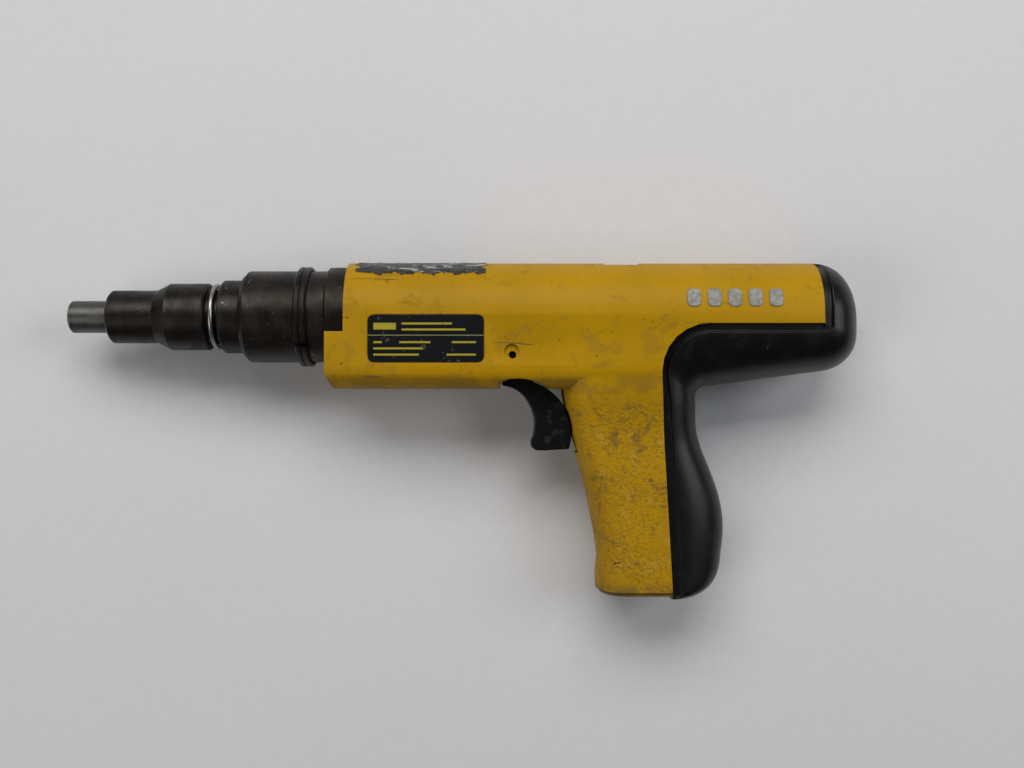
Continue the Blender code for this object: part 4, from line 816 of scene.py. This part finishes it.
# ---------------------------------------------------------------- labels and marks


def make_plate(plate):
    """The plate in the flank."""
    x0, x1 = plate_low.x - ORIGIN[0], plate_high.x - ORIGIN[0]
    y0, y1 = plate_low.y - ORIGIN[1], plate_high.y - ORIGIN[1]
    floor = plate_low.z - ORIGIN[2]
    corners = [(x0, y0), (x1, y0), (x1, y1), (x0, y1)]
    outline = softened(corners, 0.0028, 12)
    card = slab("flank_plate", outline, floor, floor + 0.0004, 0.0001)
    fitted(sharp_over(card, 40), plate, "housing", "label_film", "nameplate")


def make_film(film):
    """The film over the top of the body, torn along its edges and lifted a little from the body.

    Its ends lie on sums of two sine waves across it, and its long edges on sums of three along it."""
    start, end = film_low.x - ORIGIN[0], film_high.x - ORIGIN[0]
    along, turn = np.meshgrid(np.linspace(0, 1, 160), np.linspace(-1, 1, 90), indexing="ij")
    frayed = 0.045 * np.sin(29 * along) + 0.03 * np.sin(67 * along + 1) + 0.02 * np.sin(141 * along)
    reach = math.radians(44) * (1 - np.where(turn > 0, 0.06 + frayed, 0.05 - frayed) * np.abs(turn) ** 3)
    torn = 0.0012 * np.sin(17 * turn) + 0.0006 * np.sin(41 * turn + 2)
    x = start + 0.0018 + (end - start - 0.0036) * along + torn * (2 * along - 1)
    lifted = 0.00018 * (np.sin(23 * along + 5 * turn) * np.sin(11 * turn + 3 * along)) ** 2
    radius = BODY_RADIUS + 0.00005 + lifted
    grid = np.stack([x, radius * np.cos(turn * reach), radius * np.sin(turn * reach)], -1)
    label = solid_of("top_film", grid, round_the_rows=False, caps=False)
    flip_outwards(label)
    skin = label.modifiers.new("thickness", "SOLIDIFY")
    skin.thickness = 0.00014
    skin.offset = 1.0
    settle(label)
    fitted(label, film, "housing", "label_film", "top_label")


def flip_outwards(piece):
    """Turns an open sheet's faces away from the barrel's axis."""
    mesh = piece.data
    middle = mesh.polygons[len(mesh.polygons) // 2]
    away = Vector((0.0, middle.center.y - ORIGIN[1], middle.center.z - ORIGIN[2]))
    if middle.normal.dot(away) < 0:
        mesh.flip_normals()


def on_flank(grid):
    """Carries flat points (x, y, height) onto the round flank, as if they were wrapped round it."""
    angle = np.arcsin(np.clip(grid[:, :, 1] / BODY_RADIUS, -1, 1))
    radius = BODY_RADIUS + grid[:, :, 2]
    return np.stack([grid[:, :, 0], radius * np.sin(angle), radius * np.cos(angle)], -1)


def make_marks(silver):
    """Five plain raised marks in a row on the left flank."""
    low, high, width, pitch = 0.0030, 0.0106, 0.0058, 0.0086
    root, top = -0.0003, 0.00048
    start = BODY_REAR - 0.0575
    for i in range(5):
        x = start + i * pitch
        corners = [(x, low), (x + width, low), (x + width, high), (x, high)]
        outline = softened(corners, 0.0024, 8)
        mark = slab(f"raised_mark_{i + 1}", outline, root, top, 0.0002, on_flank)
        fitted(sharp_over(mark, 45), silver, "housing", "label_film")


# ---------------------------------------------------------------- the housing


def make_housing(yellow):
    """Both halves, with their edges broken and their round surfaces shaded as one."""
    for name in ("housing_left", "housing_right"):
        copy = frame["nodes"][name].data.copy()
        half = tidied(name.replace("housing", "shell"), copy)
        join_flats(half)
        edges = half.modifiers.new("broken_edges", "BEVEL")
        edges.width = 0.00045
        edges.segments = 3
        edges.limit_method = "ANGLE"
        edges.angle_limit = math.radians(38)
        edges.harden_normals = False
        settle(half)
        half.data.shade_smooth()
        sharp_over(half, 34)
        fitted(half, yellow, "housing", "housing_shell", name)


def join_flats(piece):
    """Merges a copied node's corners, and its triangles where they lie in one plane."""
    shape = bmesh.new()
    shape.from_mesh(piece.data)
    bmesh.ops.remove_doubles(shape, verts=shape.verts, dist=2e-6)
    bmesh.ops.dissolve_limit(
        shape, angle_limit=math.radians(0.4), verts=shape.verts, edges=shape.edges, delimit={"NORMAL"}
    )
    shape.to_mesh(piece.data)
    shape.free()


# ---------------------------------------------------------------- stage


def make_stage(paint):
    """A flat floor just under the tool."""
    reach = 3.0
    corners = [(-reach, -reach, 0), (reach, -reach, 0), (reach, reach, 0), (-reach, reach, 0)]
    floor = bpy.data.meshes.new("floor")
    floor.from_pydata(corners, [], [(0, 1, 2, 3)])
    ground = bpy.data.objects.new("floor", floor)
    bpy.context.scene.collection.objects.link(ground)
    ground.location.z = -0.00005
    ground.data.materials.append(paint)
    ground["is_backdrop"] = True


def add_light(name, place, aim, size, power, colour):
    """A rectangular light that faces a point."""
    data = bpy.data.lights.new(name, "AREA")
    data.shape = "RECTANGLE"
    data.size, data.size_y = size
    data.energy = power
    data.color = colour
    lamp = bpy.data.objects.new(name, data)
    bpy.context.scene.collection.objects.link(lamp)
    lamp.location = place
    lamp.rotation_euler = (Vector(aim) - Vector(place)).to_track_quat("-Z", "Y").to_euler()


def make_lights():
    """A wide soft ceiling with its bright part over the back, and a pale room all round."""
    scene = bpy.context.scene
    scene.world = scene.world or bpy.data.worlds.new("room")
    scene.world.use_nodes = True
    background = scene.world.node_tree.nodes["Background"]
    background.inputs["Color"].default_value = rgb(0.93, 0.95, 1.0)
    background.inputs["Strength"].default_value = 0.055
    add_light("ceiling", (-0.15, 1.25, 1.35), (0.0, 0.0, 0.0), (1.9, 0.9), 24.0, (1.0, 0.99, 0.975))
    add_light("window", (1.35, 0.35, 1.15), (0.05, 0.0, 0.0), (0.8, 0.9), 8.0, (0.94, 0.965, 1.0))
    add_light("fill", (-1.25, -0.55, 1.25), (0.0, 0.0, 0.0), (1.0, 0.9), 6.5, (1.0, 0.985, 0.96))


def make_camera():
    """The camera, which looks down the Z axis when it isn't turned."""
    data = bpy.data.cameras.new("camera")
    data.lens = LENS
    data.sensor_width = 36.0
    camera = bpy.data.objects.new("camera", data)
    bpy.context.scene.collection.objects.link(camera)
    camera.location = CAMERA_OVER
    bpy.context.scene.camera = camera


def paint_nodes(finishes):
    """Gives every node that still shows the finish of its slot."""
    slots = {part["node"]: part["material_slot"] for part in frame["record"]["subparts"]}
    for name, node in frame["nodes"].items():
        finish = finishes.get(slots.get(name))
        if finish:
            node.data.materials.clear()
            node.data.materials.append(finish)


def main():
    make_camera()
    yellow = yellow_finish()
    rubber = rubber_finish()
    plastic = trigger_finish()
    dark = rgb(0.009, 0.0078, 0.0066)
    light = rgb(0.042, 0.036, 0.030)
    worn = rgb(0.20, 0.19, 0.175)
    oxide = turned_steel("black_oxide", dark, light, worn)
    tip = turned_steel("nose_oxide", dark, light, worn, 0.0180)
    bright = ground_steel()
    plate = nameplate_finish()
    film = film_finish()
    paint_nodes({
        "housing_shell": yellow,
        "pad_rubber": rubber,
        "black_plastic": plastic,
        "label_film": film,
        "black_oxide": oxide,
        "bright_steel": bright,
        "spring_steel": bright,
        "buffer_rubber": buffer_finish(),
    })
    make_housing(yellow)
    make_pad(rubber)
    make_nose(tip, bright)
    make_barrel(oxide)
    make_sleeve(oxide)
    make_collar(oxide)
    make_receiver(oxide)
    make_trigger(plastic)
    make_plate(plate)
    make_film(film)
    make_marks(silver_finish())
    make_stage(floor_finish())
    make_lights()
    bpy.context.scene.view_settings.view_transform = "Standard"


main()
LOOKS_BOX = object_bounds()
boxes = {"cad": CAD_BOX, "looks": LOOKS_BOX}
{name: [list(map(float, corner)) for corner in box] for name, box in boxes.items()}
